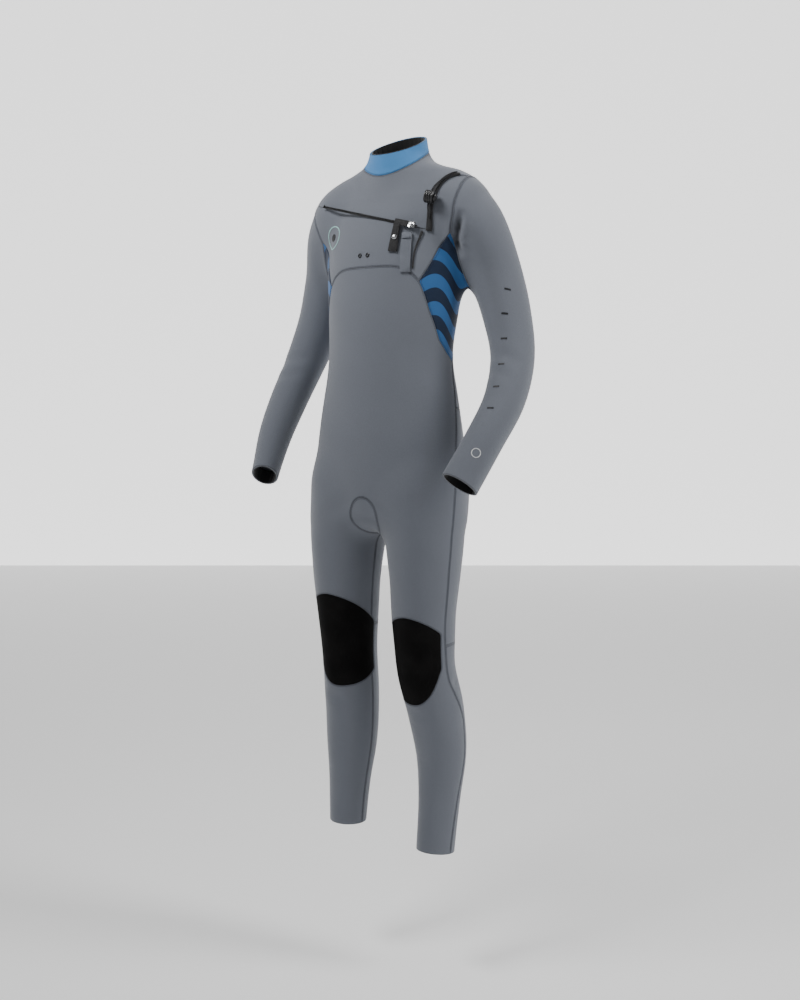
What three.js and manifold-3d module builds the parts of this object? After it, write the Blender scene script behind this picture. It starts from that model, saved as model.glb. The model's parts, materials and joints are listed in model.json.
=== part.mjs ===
import * as THREE from "three";
import { mergeVertices } from "three/addons/utils/BufferGeometryUtils.js";
import Module from "manifold-3d";

// ---------------------------------------------------------------------------
// A youth's chest-zip full wetsuit, in millimetres, +Z up, facing -Y, with the
// wearer's left at +X. The origin is the centre of the neck where the collar
// is sewn on. The neoprene keeps the shape of the body that it is cut for.
// ---------------------------------------------------------------------------

// Sizes of the whole suit
const SUIT_LENGTH = 1170; // from the collar seam to the ankles
const CHEST_WIDTH = 272; // from armpit to armpit
const COLLAR_HEIGHT = 31;
const NECK_TILT = 25; // degrees that the collar falls towards the front

// Neoprene, lining and seams
const SKIN = 3; // thickness of the neoprene panels
const LINING = 1.2; // thickness of the linings of the collar and the cuffs
const CUFF_LINING = 26; // how far the lining reaches up the sleeve
const SEAM_GAP = 0.8; // between two panels, where the stitching lies
const CLEAR = 0.4; // between two parts that lie on each other

// Closure
const ZIP_TAPE = 2.8; // width of each zip tape
const ZIP_COIL = 1.5; // width of each row of teeth
const SLIDER_LENGTH = 13;
const SLIDER_WIDTH = 10;
const PULL_WIDTH = 13;
const PULL_DROP = 42;
const RIVET_R = 4.4;
const FLAP_WIDTH = 17;
const FLAP_LENGTH = 64;
const LOCK_R = 10.5;
const LOCK_LENGTH = 15;
const BUTTON_R = 6.5;
const CORD_R = 1.7;
const DRAIN_R = 2; // the two drain holes in the chest

// The torso, from under the crotch to the neck: height, half width, depth in
// front of and behind the middle line, and where that middle line is.
const TORSO = [
  { z: -640, wide: 110, front: 62, back: 70, y: -36 },
  { z: -600, wide: 136, front: 78, back: 90, y: -36 },
  { z: -540, wide: 145, front: 86, back: 98, y: -34 },
  { z: -470, wide: 140, front: 86, back: 92, y: -32 },
  { z: -400, wide: 129, front: 82, back: 82, y: -30 },
  { z: -326, wide: 118, front: 80, back: 72, y: -28 },
  { z: -250, wide: 124, front: 84, back: 76, y: -20 },
  { z: -180, wide: 133, front: 86, back: 84, y: -10 },
  { z: -140, wide: 136, front: 84, back: 84, y: -4 },
  { z: -100, wide: 140, front: 76, back: 80, y: 0 },
  { z: -62, wide: 140, front: 60, back: 70, y: 0 },
  { z: -38, wide: 128, front: 50, back: 58, y: 0 },
  { z: -20, wide: 108, front: 45, back: 50, y: 0 },
  { z: -4, wide: 72, front: 42, back: 46, y: 0 },
  { z: 14, wide: 42, front: 38, back: 40, y: 0 },
  { z: 40, wide: 34, front: 32, back: 34, y: -2 },
]

// Neck, arms and legs are tubes: their middle line, half sizes and the turn of
// their wide axis about that line, in degrees.
const NECK = [
  { at: [0, 6, -50], wide: 54, deep: 56, turn: 0 },
  { at: [0, 4, -15], wide: 53, deep: 54, turn: 0 },
  { at: [0, 0, 5], wide: 51, deep: 51, turn: 0 },
  { at: [0, -4, 35], wide: 49, deep: 49, turn: 0 },
  { at: [0, -8, 70], wide: 48, deep: 48, turn: 0 },
];
const ARM = [
  { at: [126, 2, -84], wide: 48, deep: 54, turn: 0 },
  { at: [151, 10, -120], wide: 46, deep: 50, turn: 0 },
  { at: [174, 26, -188], wide: 44, deep: 45, turn: 0 },
  { at: [197, 26, -260], wide: 40, deep: 41, turn: 0 },
  { at: [218, 10, -330], wide: 36, deep: 37, turn: 0 },
  { at: [226, -30, -400], wide: 33, deep: 34, turn: 10 },
  { at: [218, -78, -463], wide: 29, deep: 32, turn: 25 },
  { at: [202, -126, -532], wide: 24, deep: 32, turn: 35 },
]
const RIGHT_LEG = [
  { at: [-76, -36, -560], wide: 66, deep: 72, turn: 0 },
  { at: [-81, -40, -620], wide: 66, deep: 71, turn: 0 },
  { at: [-84, -42, -690], wide: 60, deep: 64, turn: 0 },
  { at: [-85, -39, -760], wide: 54, deep: 57, turn: 0 },
  { at: [-84, -36, -840], wide: 48, deep: 51, turn: 0 },
  { at: [-83, -31, -920], wide: 48, deep: 49, turn: 0 },
  { at: [-85, -28, -1000], wide: 45, deep: 47, turn: 0 },
  { at: [-88, -31, -1075], wide: 37, deep: 40, turn: 0 },
  { at: [-90, -35, -1156], wide: 32, deep: 34, turn: 0 },
]
const LEFT_LEG = [
  { at: [76, -36, -566], wide: 66, deep: 72, turn: 0 },
  { at: [81, -42, -630], wide: 66, deep: 70, turn: 0 },
  { at: [83, -46, -700], wide: 59, deep: 62, turn: 0 },
  { at: [83, -48, -775], wide: 53, deep: 55, turn: 0 },
  { at: [84, -42, -855], wide: 49, deep: 51, turn: 0 },
  { at: [87, -16, -935], wide: 48, deep: 50, turn: 0 },
  { at: [89, -2, -1012], wide: 43, deep: 45, turn: 0 },
  { at: [89, -8, -1092], wide: 36, deep: 37, turn: 0 },
  { at: [89, -20, -1179], wide: 33, deep: 34, turn: 0 },
]

const ARM_BLEND = 34; // how widely the sleeve flows into the shoulder
const LEG_BLEND = 30;
const NECK_BLEND = 18;

// The tables above are for a suit 1170 long and 272 wide, and are stretched to the sizes asked
// for.
const long = SUIT_LENGTH / 1170;
const round = CHEST_WIDTH / 272;
for (const s of TORSO) {
  s.z *= long;
  for (const key of ["wide", "front", "back", "y"]) s[key] *= round;
}
for (const s of [...NECK, ...ARM, ...RIGHT_LEG, ...LEFT_LEG]) {
  s.at = [s.at[0] * round, s.at[1] * round, s.at[2] * long];
  s.wide *= round;
  s.deep *= round;
}
const CROTCH_Z = -622 * long;

// Smooth value between stations (a cubic through them), with the key's slope kept level at the ends.
function between(stations, place, keys) {
  const last = stations.length - 1;
  const at = THREE.MathUtils.clamp(place, 0, last);
  const i = Math.min(Math.floor(at), last - 1);
  const t = at - i;
  return keys.map((key) => {
    const station = (k) => stations[THREE.MathUtils.clamp(k, 0, last)][key];
    const [a, b, c, d] = [station(i - 1), station(i), station(i + 1), station(i + 2)];
    return 0.5 * (2 * b + (c - a) * t + (2 * a - 5 * b + 4 * c - d) * t * t
      + (3 * b - a - 3 * c + d) * t * t * t);
  });
}

// Where a height lies among the torso's stations.
function torsoPlace(z) {
  if (z <= TORSO[0].z) return 0;
  for (let i = 1; i < TORSO.length; i++)
    if (z <= TORSO[i].z) return i - 1 + (z - TORSO[i - 1].z) / (TORSO[i].z - TORSO[i - 1].z);
  return TORSO.length - 1;
}

const TABLE_STEP = 1;
const torsoTable = [];
for (let z = TORSO[0].z; z <= TORSO.at(-1).z; z += TABLE_STEP)
  torsoTable.push(between(TORSO, torsoPlace(z), ["wide", "front", "back", "y"]));

function torsoSection(z) {
  const i = THREE.MathUtils.clamp(Math.round((z - TORSO[0].z) / TABLE_STEP), 0, torsoTable.length - 1);
  return torsoTable[i];
}

function ellipseDistance(u, v, a, b) {
  const k0 = Math.hypot(u / a, v / b);
  const k1 = Math.hypot(u / (a * a), v / (b * b));
  return k1 < 1e-9 ? -Math.min(a, b) : (k0 * (k0 - 1)) / k1;
}

function torsoFlat(x, y, z) {
  const [wide, front, back, mid] = torsoSection(z);
  return ellipseDistance(x, y - mid, wide, y < mid ? front : back);
}

function smoothMin(a, b, k) {
  const h = Math.max(k - Math.abs(a - b), 0) / k;
  return Math.min(a, b) - (h * h * k) / 4;
}

function torsoDistance(x, y, z) {
  const d = torsoFlat(x, y, z);
  const slope = (torsoFlat(x, y, z + 4) - torsoFlat(x, y, z - 4)) / 8;
  return -smoothMin(-d / Math.hypot(1, slope), -(CROTCH_Z - z), 40);
}

// A limb sampled along its middle line, with the axes of its section.
const LIMB_STEPS = 5; // samples between two stations
function limb(stations, mirror = 1) {
  const line = new THREE.CatmullRomCurve3(
    stations.map((s) => new THREE.Vector3(s.at[0] * mirror, s.at[1], s.at[2])),
    false,
    "catmullrom",
    0.5,
  );
  const count = (stations.length - 1) * LIMB_STEPS;
  const samples = [];
  for (let i = 0; i <= count; i++) {
    const t = i / count;
    const middle = line.getPoint(t);
    const along = line.getTangent(t);
    const [wide, deep, turn] = between(stations, t * (stations.length - 1), ["wide", "deep", "turn"]);
    const side = new THREE.Vector3(1, 0, 0).addScaledVector(along, -along.x).normalize();
    const fore = along.clone().cross(side);
    const angle = THREE.MathUtils.degToRad(turn * mirror);
    const across = side.clone().multiplyScalar(Math.cos(angle)).addScaledVector(fore, Math.sin(angle));
    samples.push({ middle, along, across, other: along.clone().cross(across), wide, deep });
  }
  return samples;
}

const scratch = new THREE.Vector3();
// Where a point lies on a limb: its sample position, and the point in section axes.
function limbPlace(samples, x, y, z) {
  let best = Infinity;
  let place = 0;
  for (let i = 0; i < samples.length - 1; i++) {
    const a = samples[i].middle;
    const b = samples[i + 1].middle;
    const [dx, dy, dz] = [b.x - a.x, b.y - a.y, b.z - a.z];
    let t = ((x - a.x) * dx + (y - a.y) * dy + (z - a.z) * dz) / (dx * dx + dy * dy + dz * dz);
    t = Math.max(0, i === samples.length - 2 ? t : Math.min(1, t));
    const far = (x - a.x - dx * t) ** 2 + (y - a.y - dy * t) ** 2 + (z - a.z - dz * t) ** 2;
    if (far < best) {
      best = far;
      place = i + t;
    }
  }
  const i = Math.min(Math.floor(place), samples.length - 2);
  const t = place - i;
  const [a, b] = [samples[i], samples[i + 1]];
  const r = Math.min(t, 1);
  const mix = (p, q) => p + (q - p) * r;
  scratch.set(x - a.middle.x - (b.middle.x - a.middle.x) * t,
    y - a.middle.y - (b.middle.y - a.middle.y) * t,
    z - a.middle.z - (b.middle.z - a.middle.z) * t);
  const across = a.across.clone().lerp(b.across, r);
  const other = a.other.clone().lerp(b.other, r);
  const along = a.along.clone().lerp(b.along, r);
  return {
    place,
    u: scratch.dot(across),
    v: scratch.dot(other),
    beyond: scratch.dot(along),
    wide: mix(a.wide, b.wide),
    deep: mix(a.deep, b.deep),
  };
}

function limbDistance(samples, x, y, z) {
  const p = limbPlace(samples, x, y, z);
  const k0 = Math.hypot(p.u / p.wide, p.v / p.deep, p.beyond / p.deep);
  const k1 = Math.hypot(p.u / p.wide ** 2, p.v / p.deep ** 2, p.beyond / p.deep ** 2);
  return k1 < 1e-9 ? -p.wide : (k0 * (k0 - 1)) / k1;
}

const neck = limb(NECK);
const leftArm = limb(ARM);
const rightArm = limb(ARM, -1);
const leftLeg = limb(LEFT_LEG);
const rightLeg = limb(RIGHT_LEG);

// Distance from the suit's outer face, below zero inside.
function bodyDistance(x, y, z) {
  let d = torsoDistance(x, y, z);
  if (z > -120 * long) d = smoothMin(d, limbDistance(neck, x, y, z), NECK_BLEND);
  if (z > -620 * long) {
    const arm = x > 0 ? leftArm : rightArm;
    if (Math.abs(x) > 40) d = smoothMin(d, limbDistance(arm, x, y, z), ARM_BLEND);
  }
  if (z < -440 * long) {
    const near = x > 0 ? leftLeg : rightLeg;
    const far = x > 0 ? rightLeg : leftLeg;
    const legs = smoothMin(limbDistance(near, x, y, z), limbDistance(far, x, y, z), 12);
    d = smoothMin(d, legs, LEG_BLEND);
  }
  return d;
}

function bodyNormal(p, out) {
  const e = 1;
  return out
    .set(
      bodyDistance(p.x + e, p.y, p.z) - bodyDistance(p.x - e, p.y, p.z),
      bodyDistance(p.x, p.y + e, p.z) - bodyDistance(p.x, p.y - e, p.z),
      bodyDistance(p.x, p.y, p.z + e) - bodyDistance(p.x, p.y, p.z - e),
    )
    .normalize();
}

// ---------------------------------------------------------------------------
// The suit's outer face as rings of points joined by four-sided faces
// ---------------------------------------------------------------------------
const COLUMNS = 28; // points round the torso, from the front middle towards the wearer's left
const CROTCH_POINTS = 8; // faces along the crotch line
const HIP_Z = -596 * long;
const ARMPIT_Z = -156 * long;
const TORSO_RINGS = 10; // from hip to armpit
const SHOULDER_RINGS = 7; // from armpit to the collar seam
const ARMHOLE_RINGS = 4; // of those, the ones that the armhole takes
const ARMHOLE_COLUMNS = 3; // to each side of the flank
const COLLAR_RINGS = 1;
const ARM_RINGS = 11;
const LEG_RINGS = 13;

const points = [];
const pinned = [];
const faces = [];
function addPoint(x, y, z, fixed = false) {
  points.push(new THREE.Vector3(x, y, z));
  pinned.push(fixed);
  return points.length - 1;
}

// The point of a ray from a middle line that lies on the suit's face.
function outFrom(middle, direction, reach = 200) {
  let low = 0;
  let high = reach;
  const p = new THREE.Vector3();
  for (let i = 0; i < 30; i++) {
    const t = (low + high) / 2;
    p.copy(middle).addScaledVector(direction, t);
    if (bodyDistance(p.x, p.y, p.z) < 0) low = t;
    else high = t;
  }
  return p;
}

const ringAngle = (i) => (2 * Math.PI * i) / COLUMNS;

const torsoRings = [];
for (let j = 0; j <= TORSO_RINGS; j++) {
  const z = HIP_Z + ((ARMPIT_Z - HIP_Z) * j) / TORSO_RINGS;
  const [wide, front, back, mid] = torsoSection(z);
  torsoRings.push(
    Array.from({ length: COLUMNS }, (_, i) => {
      const c = Math.cos(ringAngle(i));
      return addPoint(wide * Math.sin(ringAngle(i)), mid - c * (c > 0 ? front : back), z);
    }),
  );
}

// Above the armpit each column climbs the torso's own profile to the tilted collar seam.
const tiltTan = Math.tan(THREE.MathUtils.degToRad(NECK_TILT));
const SIDE_RISE = 12; // how far the collar seam climbs at the sides of the neck
const collarZ = (y) => y * tiltTan;
function shoulderColumn(i) {
  const c = Math.cos(ringAngle(i));
  const s = Math.sin(ringAngle(i));
  const profile = [];
  for (let z = ARMPIT_Z; z < 40 * long; z += 2) {
    const [wide, front, back, mid] = torsoSection(z);
    const p = new THREE.Vector3(wide * s, mid - c * (c > 0 ? front : back), z);
    if (Math.hypot(p.x, p.y) < 54 * round || z > collarZ(p.y)) break;
    profile.push(p);
  }
  const climb = -c * tiltTan + (s * s * SIDE_RISE * long) / (55 * round);
  const seam = outFrom(new THREE.Vector3(0, 2 * round, 0), new THREE.Vector3(s, -c, climb));
  profile.push(seam);
  const along = [0];
  for (let k = 1; k < profile.length; k++)
    along.push(along[k - 1] + profile[k].distanceTo(profile[k - 1]));
  return (share) => {
    const want = share * along.at(-1);
    const k = Math.max(1, along.findIndex((a) => a >= want - 1e-9));
    const t = (want - along[k - 1]) / (along[k] - along[k - 1] || 1);
    return profile[k - 1].clone().lerp(profile[k], t);
  };
}
const columns = Array.from({ length: COLUMNS }, (_, i) => shoulderColumn(i));
for (let j = 1; j <= SHOULDER_RINGS; j++)
  torsoRings.push(
    columns.map((column) => {
      const p = column(j / SHOULDER_RINGS);
      return addPoint(p.x, p.y, p.z, j === SHOULDER_RINGS);
    }),
  );
for (let j = 1; j <= COLLAR_RINGS; j++)
  torsoRings.push(
    columns.map((_, i) => {
      const height = (COLLAR_HEIGHT * j) / COLLAR_RINGS;
      const c = Math.cos(ringAngle(i));
      const middle = new THREE.Vector3(0, -4 * (height / COLLAR_HEIGHT), height);
      const p = outFrom(middle, new THREE.Vector3(Math.sin(ringAngle(i)), -c, -c * tiltTan));
      return addPoint(p.x, p.y, p.z, true);
    }),
  );

const flank = [COLUMNS / 4, (3 * COLUMNS) / 4];
const inArmhole = (j, i) =>
  j >= TORSO_RINGS && j < TORSO_RINGS + ARMHOLE_RINGS
    && flank.some((f) => i >= f - ARMHOLE_COLUMNS && i < f + ARMHOLE_COLUMNS);
for (let j = 0; j < torsoRings.length - 1; j++)
  for (let i = 0; i < COLUMNS; i++) {
    const k = (i + 1) % COLUMNS;
    const [low, high] = [torsoRings[j], torsoRings[j + 1]];
    if (!inArmhole(j, i)) faces.push([low[i], low[k], high[k], high[i]]);
  }

// A tube of rings that starts from a loop of points already there.
function growLimb(loop, samples, angles, rings, startPlace, easeRings) {
  let last = loop;
  for (let r = 1; r <= rings; r++) {
    const share = r / rings;
    const place = startPlace + (samples.length - 1 - startPlace) * share;
    const k = Math.min(Math.floor(place), samples.length - 2);
    const t = place - k;
    const [a, b] = [samples[k], samples[k + 1]];
    const middle = a.middle.clone().lerp(b.middle, t);
    const across = a.across.clone().lerp(b.across, t);
    const other = a.other.clone().lerp(b.other, t);
    const ease = Math.min(1, r / easeRings);
    const smooth = ease * ease * (3 - 2 * ease);
    const ring = angles.map((angle, n) => {
      const out = across.clone().multiplyScalar(Math.cos(angle));
      out.addScaledVector(other, Math.sin(angle)).normalize();
      const p = outFrom(middle, out, 90);
      if (ease < 1) p.lerp(points[loop[n]], 1 - smooth);
      return addPoint(p.x, p.y, p.z, r === rings);
    });
    for (let n = 0; n < ring.length; n++) {
      const m = (n + 1) % ring.length;
      faces.push([last[n], last[m], ring[m], ring[n]]);
    }
    last = ring;
  }
  return last;
}

// Angles of a loop's points about a limb, so that its rings don't twist.
function loopAngles(loop, sample, even) {
  const raw = loop.map((n) => {
    const q = points[n].clone().sub(sample.middle);
    return Math.atan2(q.dot(sample.other), q.dot(sample.across));
  });
  for (let n = 1; n < raw.length; n++) while (raw[n] - raw[n - 1] > Math.PI) raw[n] -= 2 * Math.PI;
  for (let n = 1; n < raw.length; n++) while (raw[n] - raw[n - 1] < -Math.PI) raw[n] += 2 * Math.PI;
  const turn = raw.at(-1) > raw[0] ? 1 : -1;
  const step = (turn * 2 * Math.PI) / raw.length;
  const middle = raw.reduce((sum, a, n) => sum + a - step * n, 0) / raw.length;
  return raw.map((a, n) => a * (1 - even) + even * (middle + (turn * 2 * Math.PI * n) / raw.length));
}

function armholeLoop(f) {
  const [low, high] = [TORSO_RINGS, TORSO_RINGS + ARMHOLE_RINGS];
  const [from, to] = [f - ARMHOLE_COLUMNS, f + ARMHOLE_COLUMNS];
  const loop = [];
  for (let i = from; i < to; i++) loop.push(torsoRings[low][i]);
  for (let j = low; j < high; j++) loop.push(torsoRings[j][to]);
  for (let i = to; i > from; i--) loop.push(torsoRings[high][i]);
  for (let j = high; j > low; j--) loop.push(torsoRings[j][from]);
  return loop;
}

const cuffLoops = {};
for (const [name, samples, f] of [["left", leftArm, flank[0]], ["right", rightArm, flank[1]]]) {
  const loop = armholeLoop(f);
  const angles = loopAngles(loop, samples[4], 1);
  cuffLoops[name] = growLimb(loop, samples, angles, ARM_RINGS, 4, 3);
}

// The crotch line joins the front and back middles under the body.
const crotchLine = Array.from({ length: CROTCH_POINTS - 1 }, (_, i) => {
  const share = (i + 1) / CROTCH_POINTS;
  const angle = Math.PI * share;
  const [, front, back, mid] = torsoSection(HIP_Z);
  const c = Math.cos(angle);
  const z = HIP_Z + (CROTCH_Z - HIP_Z) * Math.sin(angle) * 1.1;
  return addPoint(0, mid + c * (c > 0 ? back : front) * 0.95, z);
});
const hip = torsoRings[0];
const half = COLUMNS / 2;
const leftLoop = [...hip.slice(0, half + 1), ...crotchLine].reverse();
const rightLoop = [...hip.slice(half), hip[0], ...[...crotchLine].reverse()].reverse();
const ankleLoops = {};
for (const [name, samples, loop] of [["left", leftLeg, leftLoop], ["right", rightLeg, rightLoop]]) {
  const angles = loopAngles(loop, samples[7], 0.75);
  ankleLoops[name] = growLimb(loop, samples, angles, LEG_RINGS, 4, 3);
}

// Even out the faces, keeping every point on the suit's face.
const neighbours = points.map(() => new Set());
for (const f of faces)
  f.forEach((n, k) => {
    neighbours[n].add(f[(k + 1) % 4]);
    neighbours[n].add(f[(k + 3) % 4]);
  });
const normal = new THREE.Vector3();
function settle(p, steps) {
  for (let s = 0; s < steps; s++) p.addScaledVector(bodyNormal(p, normal), -bodyDistance(p.x, p.y, p.z));
}
for (let pass = 0; pass < 12; pass++) {
  const moved = points.map((p, n) => {
    if (pinned[n] || !neighbours[n].size) return p.clone();
    const mean = new THREE.Vector3();
    neighbours[n].forEach((m) => mean.add(points[m]));
    return p.clone().lerp(mean.divideScalar(neighbours[n].size), 0.5);
  });
  moved.forEach((p, n) => {
    points[n].copy(p);
    if (!pinned[n] && neighbours[n].size) settle(points[n], 3);
  });
}


// ---------------------------------------------------------------------------
// Cutting the panels: a field is above zero inside its panel, in millimetres
// ---------------------------------------------------------------------------
const wasm = await Module();
wasm.setup();

// The whole face as triangles, split along the shorter diagonal.
const whole = { points, tris: [] };
for (const [a, b, c, d] of faces) {
  const across = points[a].distanceTo(points[c]) <= points[b].distanceTo(points[d]);
  if (across) whole.tris.push([a, b, c], [a, c, d]);
  else whole.tris.push([a, b, d], [b, c, d]);
}

// The part of a mesh where the field is above the level.
function clip(mesh, field, level) {
  const value = mesh.points.map((p) => field(p) - level);
  const kept = new Map();
  const out = { points: [], tris: [] };
  const keep = (i) => {
    if (!kept.has(i)) {
      kept.set(i, out.points.length);
      out.points.push(mesh.points[i].clone());
    }
    return kept.get(i);
  };
  const cut = (i, j) => {
    const [a, b] = i < j ? [i, j] : [j, i];
    const name = a + "/" + b;
    if (!kept.has(name)) {
      const t = THREE.MathUtils.clamp(value[a] / (value[a] - value[b]), 0.012, 0.988);
      kept.set(name, out.points.length);
      out.points.push(mesh.points[a].clone().lerp(mesh.points[b], t));
    }
    return kept.get(name);
  };
  for (const tri of mesh.tris) {
    const ring = [];
    for (let k = 0; k < 3; k++) {
      const [i, j] = [tri[k], tri[(k + 1) % 3]];
      if (value[i] > 0) ring.push(keep(i));
      if (value[i] > 0 !== value[j] > 0) ring.push(cut(i, j));
    }
    for (let k = 2; k < ring.length; k++) out.tris.push([ring[0], ring[k - 1], ring[k]]);
  }
  return out;
}

// The two sides of a seam. Both come from the same faces, so the seam is as wide all along.
function split(mesh, field) {
  return [clip(mesh, field, SEAM_GAP / 2), clip(mesh, (p) => -field(p), SEAM_GAP / 2)];
}

// The openings end in flat rims: each has a middle, and a direction out of the suit.
function middleOf(loop) {
  const sum = new THREE.Vector3();
  for (const n of loop) sum.add(points[n]);
  return sum.divideScalar(loop.length);
}
const ends = {
  collar: { at: middleOf(torsoRings.at(-1)), n: new THREE.Vector3(0, -tiltTan, 1).normalize() },
  left_cuff: { at: middleOf(cuffLoops.left), n: leftArm.at(-1).along },
  right_cuff: { at: middleOf(cuffLoops.right), n: rightArm.at(-1).along },
  left_ankle: { at: middleOf(ankleLoops.left), n: leftLeg.at(-1).along },
  right_ankle: { at: middleOf(ankleLoops.right), n: rightLeg.at(-1).along },
};

// The face's normal, kept level at a rim so that the rim is flat.
function skinNormal(p) {
  const n = bodyNormal(p, new THREE.Vector3());
  for (const end of Object.values(ends)) {
    if (p.distanceTo(end.at) > 90) continue;
    if (Math.abs(p.clone().sub(end.at).dot(end.n)) < 0.01)
      n.addScaledVector(end.n, -n.dot(end.n)).normalize();
  }
  return n;
}

function geometry(positions, triangles) {
  const g = new THREE.BufferGeometry();
  const flat = positions.flatMap((p) => [p.x, p.y, p.z]);
  g.setAttribute("position", new THREE.Float32BufferAttribute(flat, 3));
  g.setIndex(triangles.flat());
  g.computeVertexNormals();
  return g;
}

// A closed shell between two depths below the suit's face.
function shell(mesh, outer = 0, inner = SKIN) {
  const count = mesh.points.length;
  const normals = mesh.points.map(skinNormal);
  const lay = (depth) => mesh.points.map((p, i) => p.clone().addScaledVector(normals[i], -depth));
  const triangles = [];
  const edges = new Set(mesh.tris.flatMap(([a, b, c]) => [a + "/" + b, b + "/" + c, c + "/" + a]));
  for (const [a, b, c] of mesh.tris) {
    triangles.push([a, b, c], [a + count, c + count, b + count]);
    for (const [p, q] of [[a, b], [b, c], [c, a]])
      if (!edges.has(q + "/" + p)) triangles.push([q, p, p + count], [q, p + count, q + count]);
  }
  return geometry([...lay(outer), ...lay(inner)], triangles);
}

// Fields work in the pattern's own sizes.
const pattern = (p) => [p.x / round, p.y / round, p.z / long];

function valueAt(table, key) {
  for (let i = 1; i < table.length; i++)
    if (key <= table[i][0] || i === table.length - 1) {
      const t = (key - table[i - 1][0]) / (table[i][0] - table[i - 1][0]);
      return table[i - 1][1] + (table[i][1] - table[i - 1][1]) * THREE.MathUtils.clamp(t, 0, 1);
    }
}

// Distance inside a flat outline.
function insideOutline(outline, x, y) {
  let far = Infinity;
  let inside = false;
  outline.forEach(([ax, ay], i) => {
    const [bx, by] = outline[(i + 1) % outline.length];
    const [dx, dy] = [bx - ax, by - ay];
    const t = THREE.MathUtils.clamp(((x - ax) * dx + (y - ay) * dy) / (dx * dx + dy * dy), 0, 1);
    far = Math.min(far, Math.hypot(x - ax - dx * t, y - ay - dy * t));
    if (ay > y !== by > y && x < ax + ((y - ay) / dy) * dx) inside = !inside;
  });
  return inside ? far : -far;
}

const collarField = (p) => {
  const behind = p.y - 2 * round;
  const far = Math.hypot(p.x, behind);
  const climb = (SIDE_RISE * long * p.x * p.x) / (far * 55 * round);
  return (p.z - behind * tiltTan - climb) * 0.9;
};

// The zip crosses the chest on a slant, down towards the wearer's left.
const ZIP_SLOPE = -0.25;
const ZIP_MIDDLE_Z = -99;
const zipZ = (x) => ZIP_MIDDLE_Z + ZIP_SLOPE * x;
const BACK_YOKE = [[0, -92], [80, -84], [150, -70]];
const STRAP_AWAY = 113; // of the strap's upright plane from the origin
const strapField = (p) => {
  const [x, y] = pattern(p);
  return STRAP_AWAY - 0.73 * x + 0.68 * y;
};
const yokeField = (p) => {
  const [x, y, z] = pattern(p);
  const low = y < 0 ? z - zipZ(x) : z - valueAt(BACK_YOKE, Math.abs(x));
  return Math.min(low, strapField(p));
};

const ARMHOLE = {
  left: [[-620, 163], [-350, 163], [-250, 141], [-195, 139], [-160, 136], [-130, 131], [-105, 138],
    [-60, 145], [-30, 146]],
  right: [[-620, 163], [-350, 163], [-250, 141], [-195, 139], [-160, 136], [-130, 133], [-104, 143],
    [-75, 156], [-30, 158]],
};
const sleeveField = (side) => (p) => {
  const [x, , z] = pattern(p);
  if (z < -620) return -50;
  return (side === "left" ? x : -x) - valueAt(ARMHOLE[side], z);
};
const leftSleeve = sleeveField("left");
const rightSleeve = sleeveField("right");

// The seam under the chest bows up in the middle.
const chestField = (p) => {
  const [x, , z] = pattern(p);
  return z - (-181 - 26 * Math.min(1.6, Math.abs(x) / 90) ** 5);
};

// The side panels are leaves, seen from the side.
const SIDE_OUTLINE = [
  [-44, -120], [-46, -140], [-75, -207], [-65, -254], [-49, -302], [-33, -322], [-15, -336],
  [6, -322], [25, -302], [42, -254], [56, -207], [34, -150], [30, -120],
];
const sideField = (side) => (p) => {
  const [x, y, z] = pattern(p);
  const out = side === "left" ? x : -x;
  return Math.min(insideOutline(SIDE_OUTLINE, y, z), out - 60);
};
const leftSide = sideField("left");
const rightSide = sideField("right");

// Where the front panels end and the back ones begin.
const FLANK = [[-531, -52], [-466, -37], [-400, -24], [-335, -15], [-200, -8], [0, -8]];
const LEG_FRONT = [[-1160, 0.1], [-1100, 0], [-1010, -0.2], [-945, -0.25], [-870, 0.15], [-790, 0.24],
  [-600, 0.25]];
const legOf = (x) => (x > 0 ? leftLeg : rightLeg);
const frontField = (p) => {
  const [x, y, z] = pattern(p);
  if (z > -531) return valueAt(FLANK, z) - y;
  const at = limbPlace(legOf(p.x), p.x, p.y, p.z);
  const out = THREE.MathUtils.clamp(0.5 + (0.5 * at.u * Math.sign(x)) / at.wide, 0, 1);
  return at.v - at.deep * (0.05 + (valueAt(LEG_FRONT, z) - 0.05) * out);
};

const gussetField = (p) => {
  const [x, , z] = pattern(p);
  const away = Math.hypot(x / 27, (z + 618) / 50);
  return 27 * (1 - away);
};

// Knee pads, in degrees round the leg and height: flat-topped with a rounded foot.
const PAD = {
  left: { top: -760, foot: -912 },
  right: { top: -736, foot: -899 },
};
const PAD_LEAN = 8; // degrees that the foot of the pad turns inwards
const PAD_OUT = 74; // degrees from there to the outer edge
const PAD_IN = 89;
const padField = (side) => (p) => {
  const [x, , z] = pattern(p);
  if (side === "left" ? x < 0 : x > 0) return -50;
  const at = limbPlace(legOf(p.x), p.x, p.y, p.z);
  const angle = THREE.MathUtils.radToDeg(Math.atan2(at.u * Math.sign(x), at.v));
  const from = angle + PAD_LEAN;
  const reach = from > 0 ? PAD_OUT : PAD_IN;
  const { top, foot } = PAD[side];
  const share = Math.min(1.4, Math.abs(from) / reach);
  const low = z - (foot + (from > 0 ? 66 : 26) * share ** 2.2);
  const high = top - 26 * Math.min(1.6, Math.abs(angle) / 65) ** 1.7 - z;
  const edge = ((reach - Math.abs(from)) * at.wide * Math.PI) / 180;
  return Math.min(low * 0.85, high, edge);
};

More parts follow.
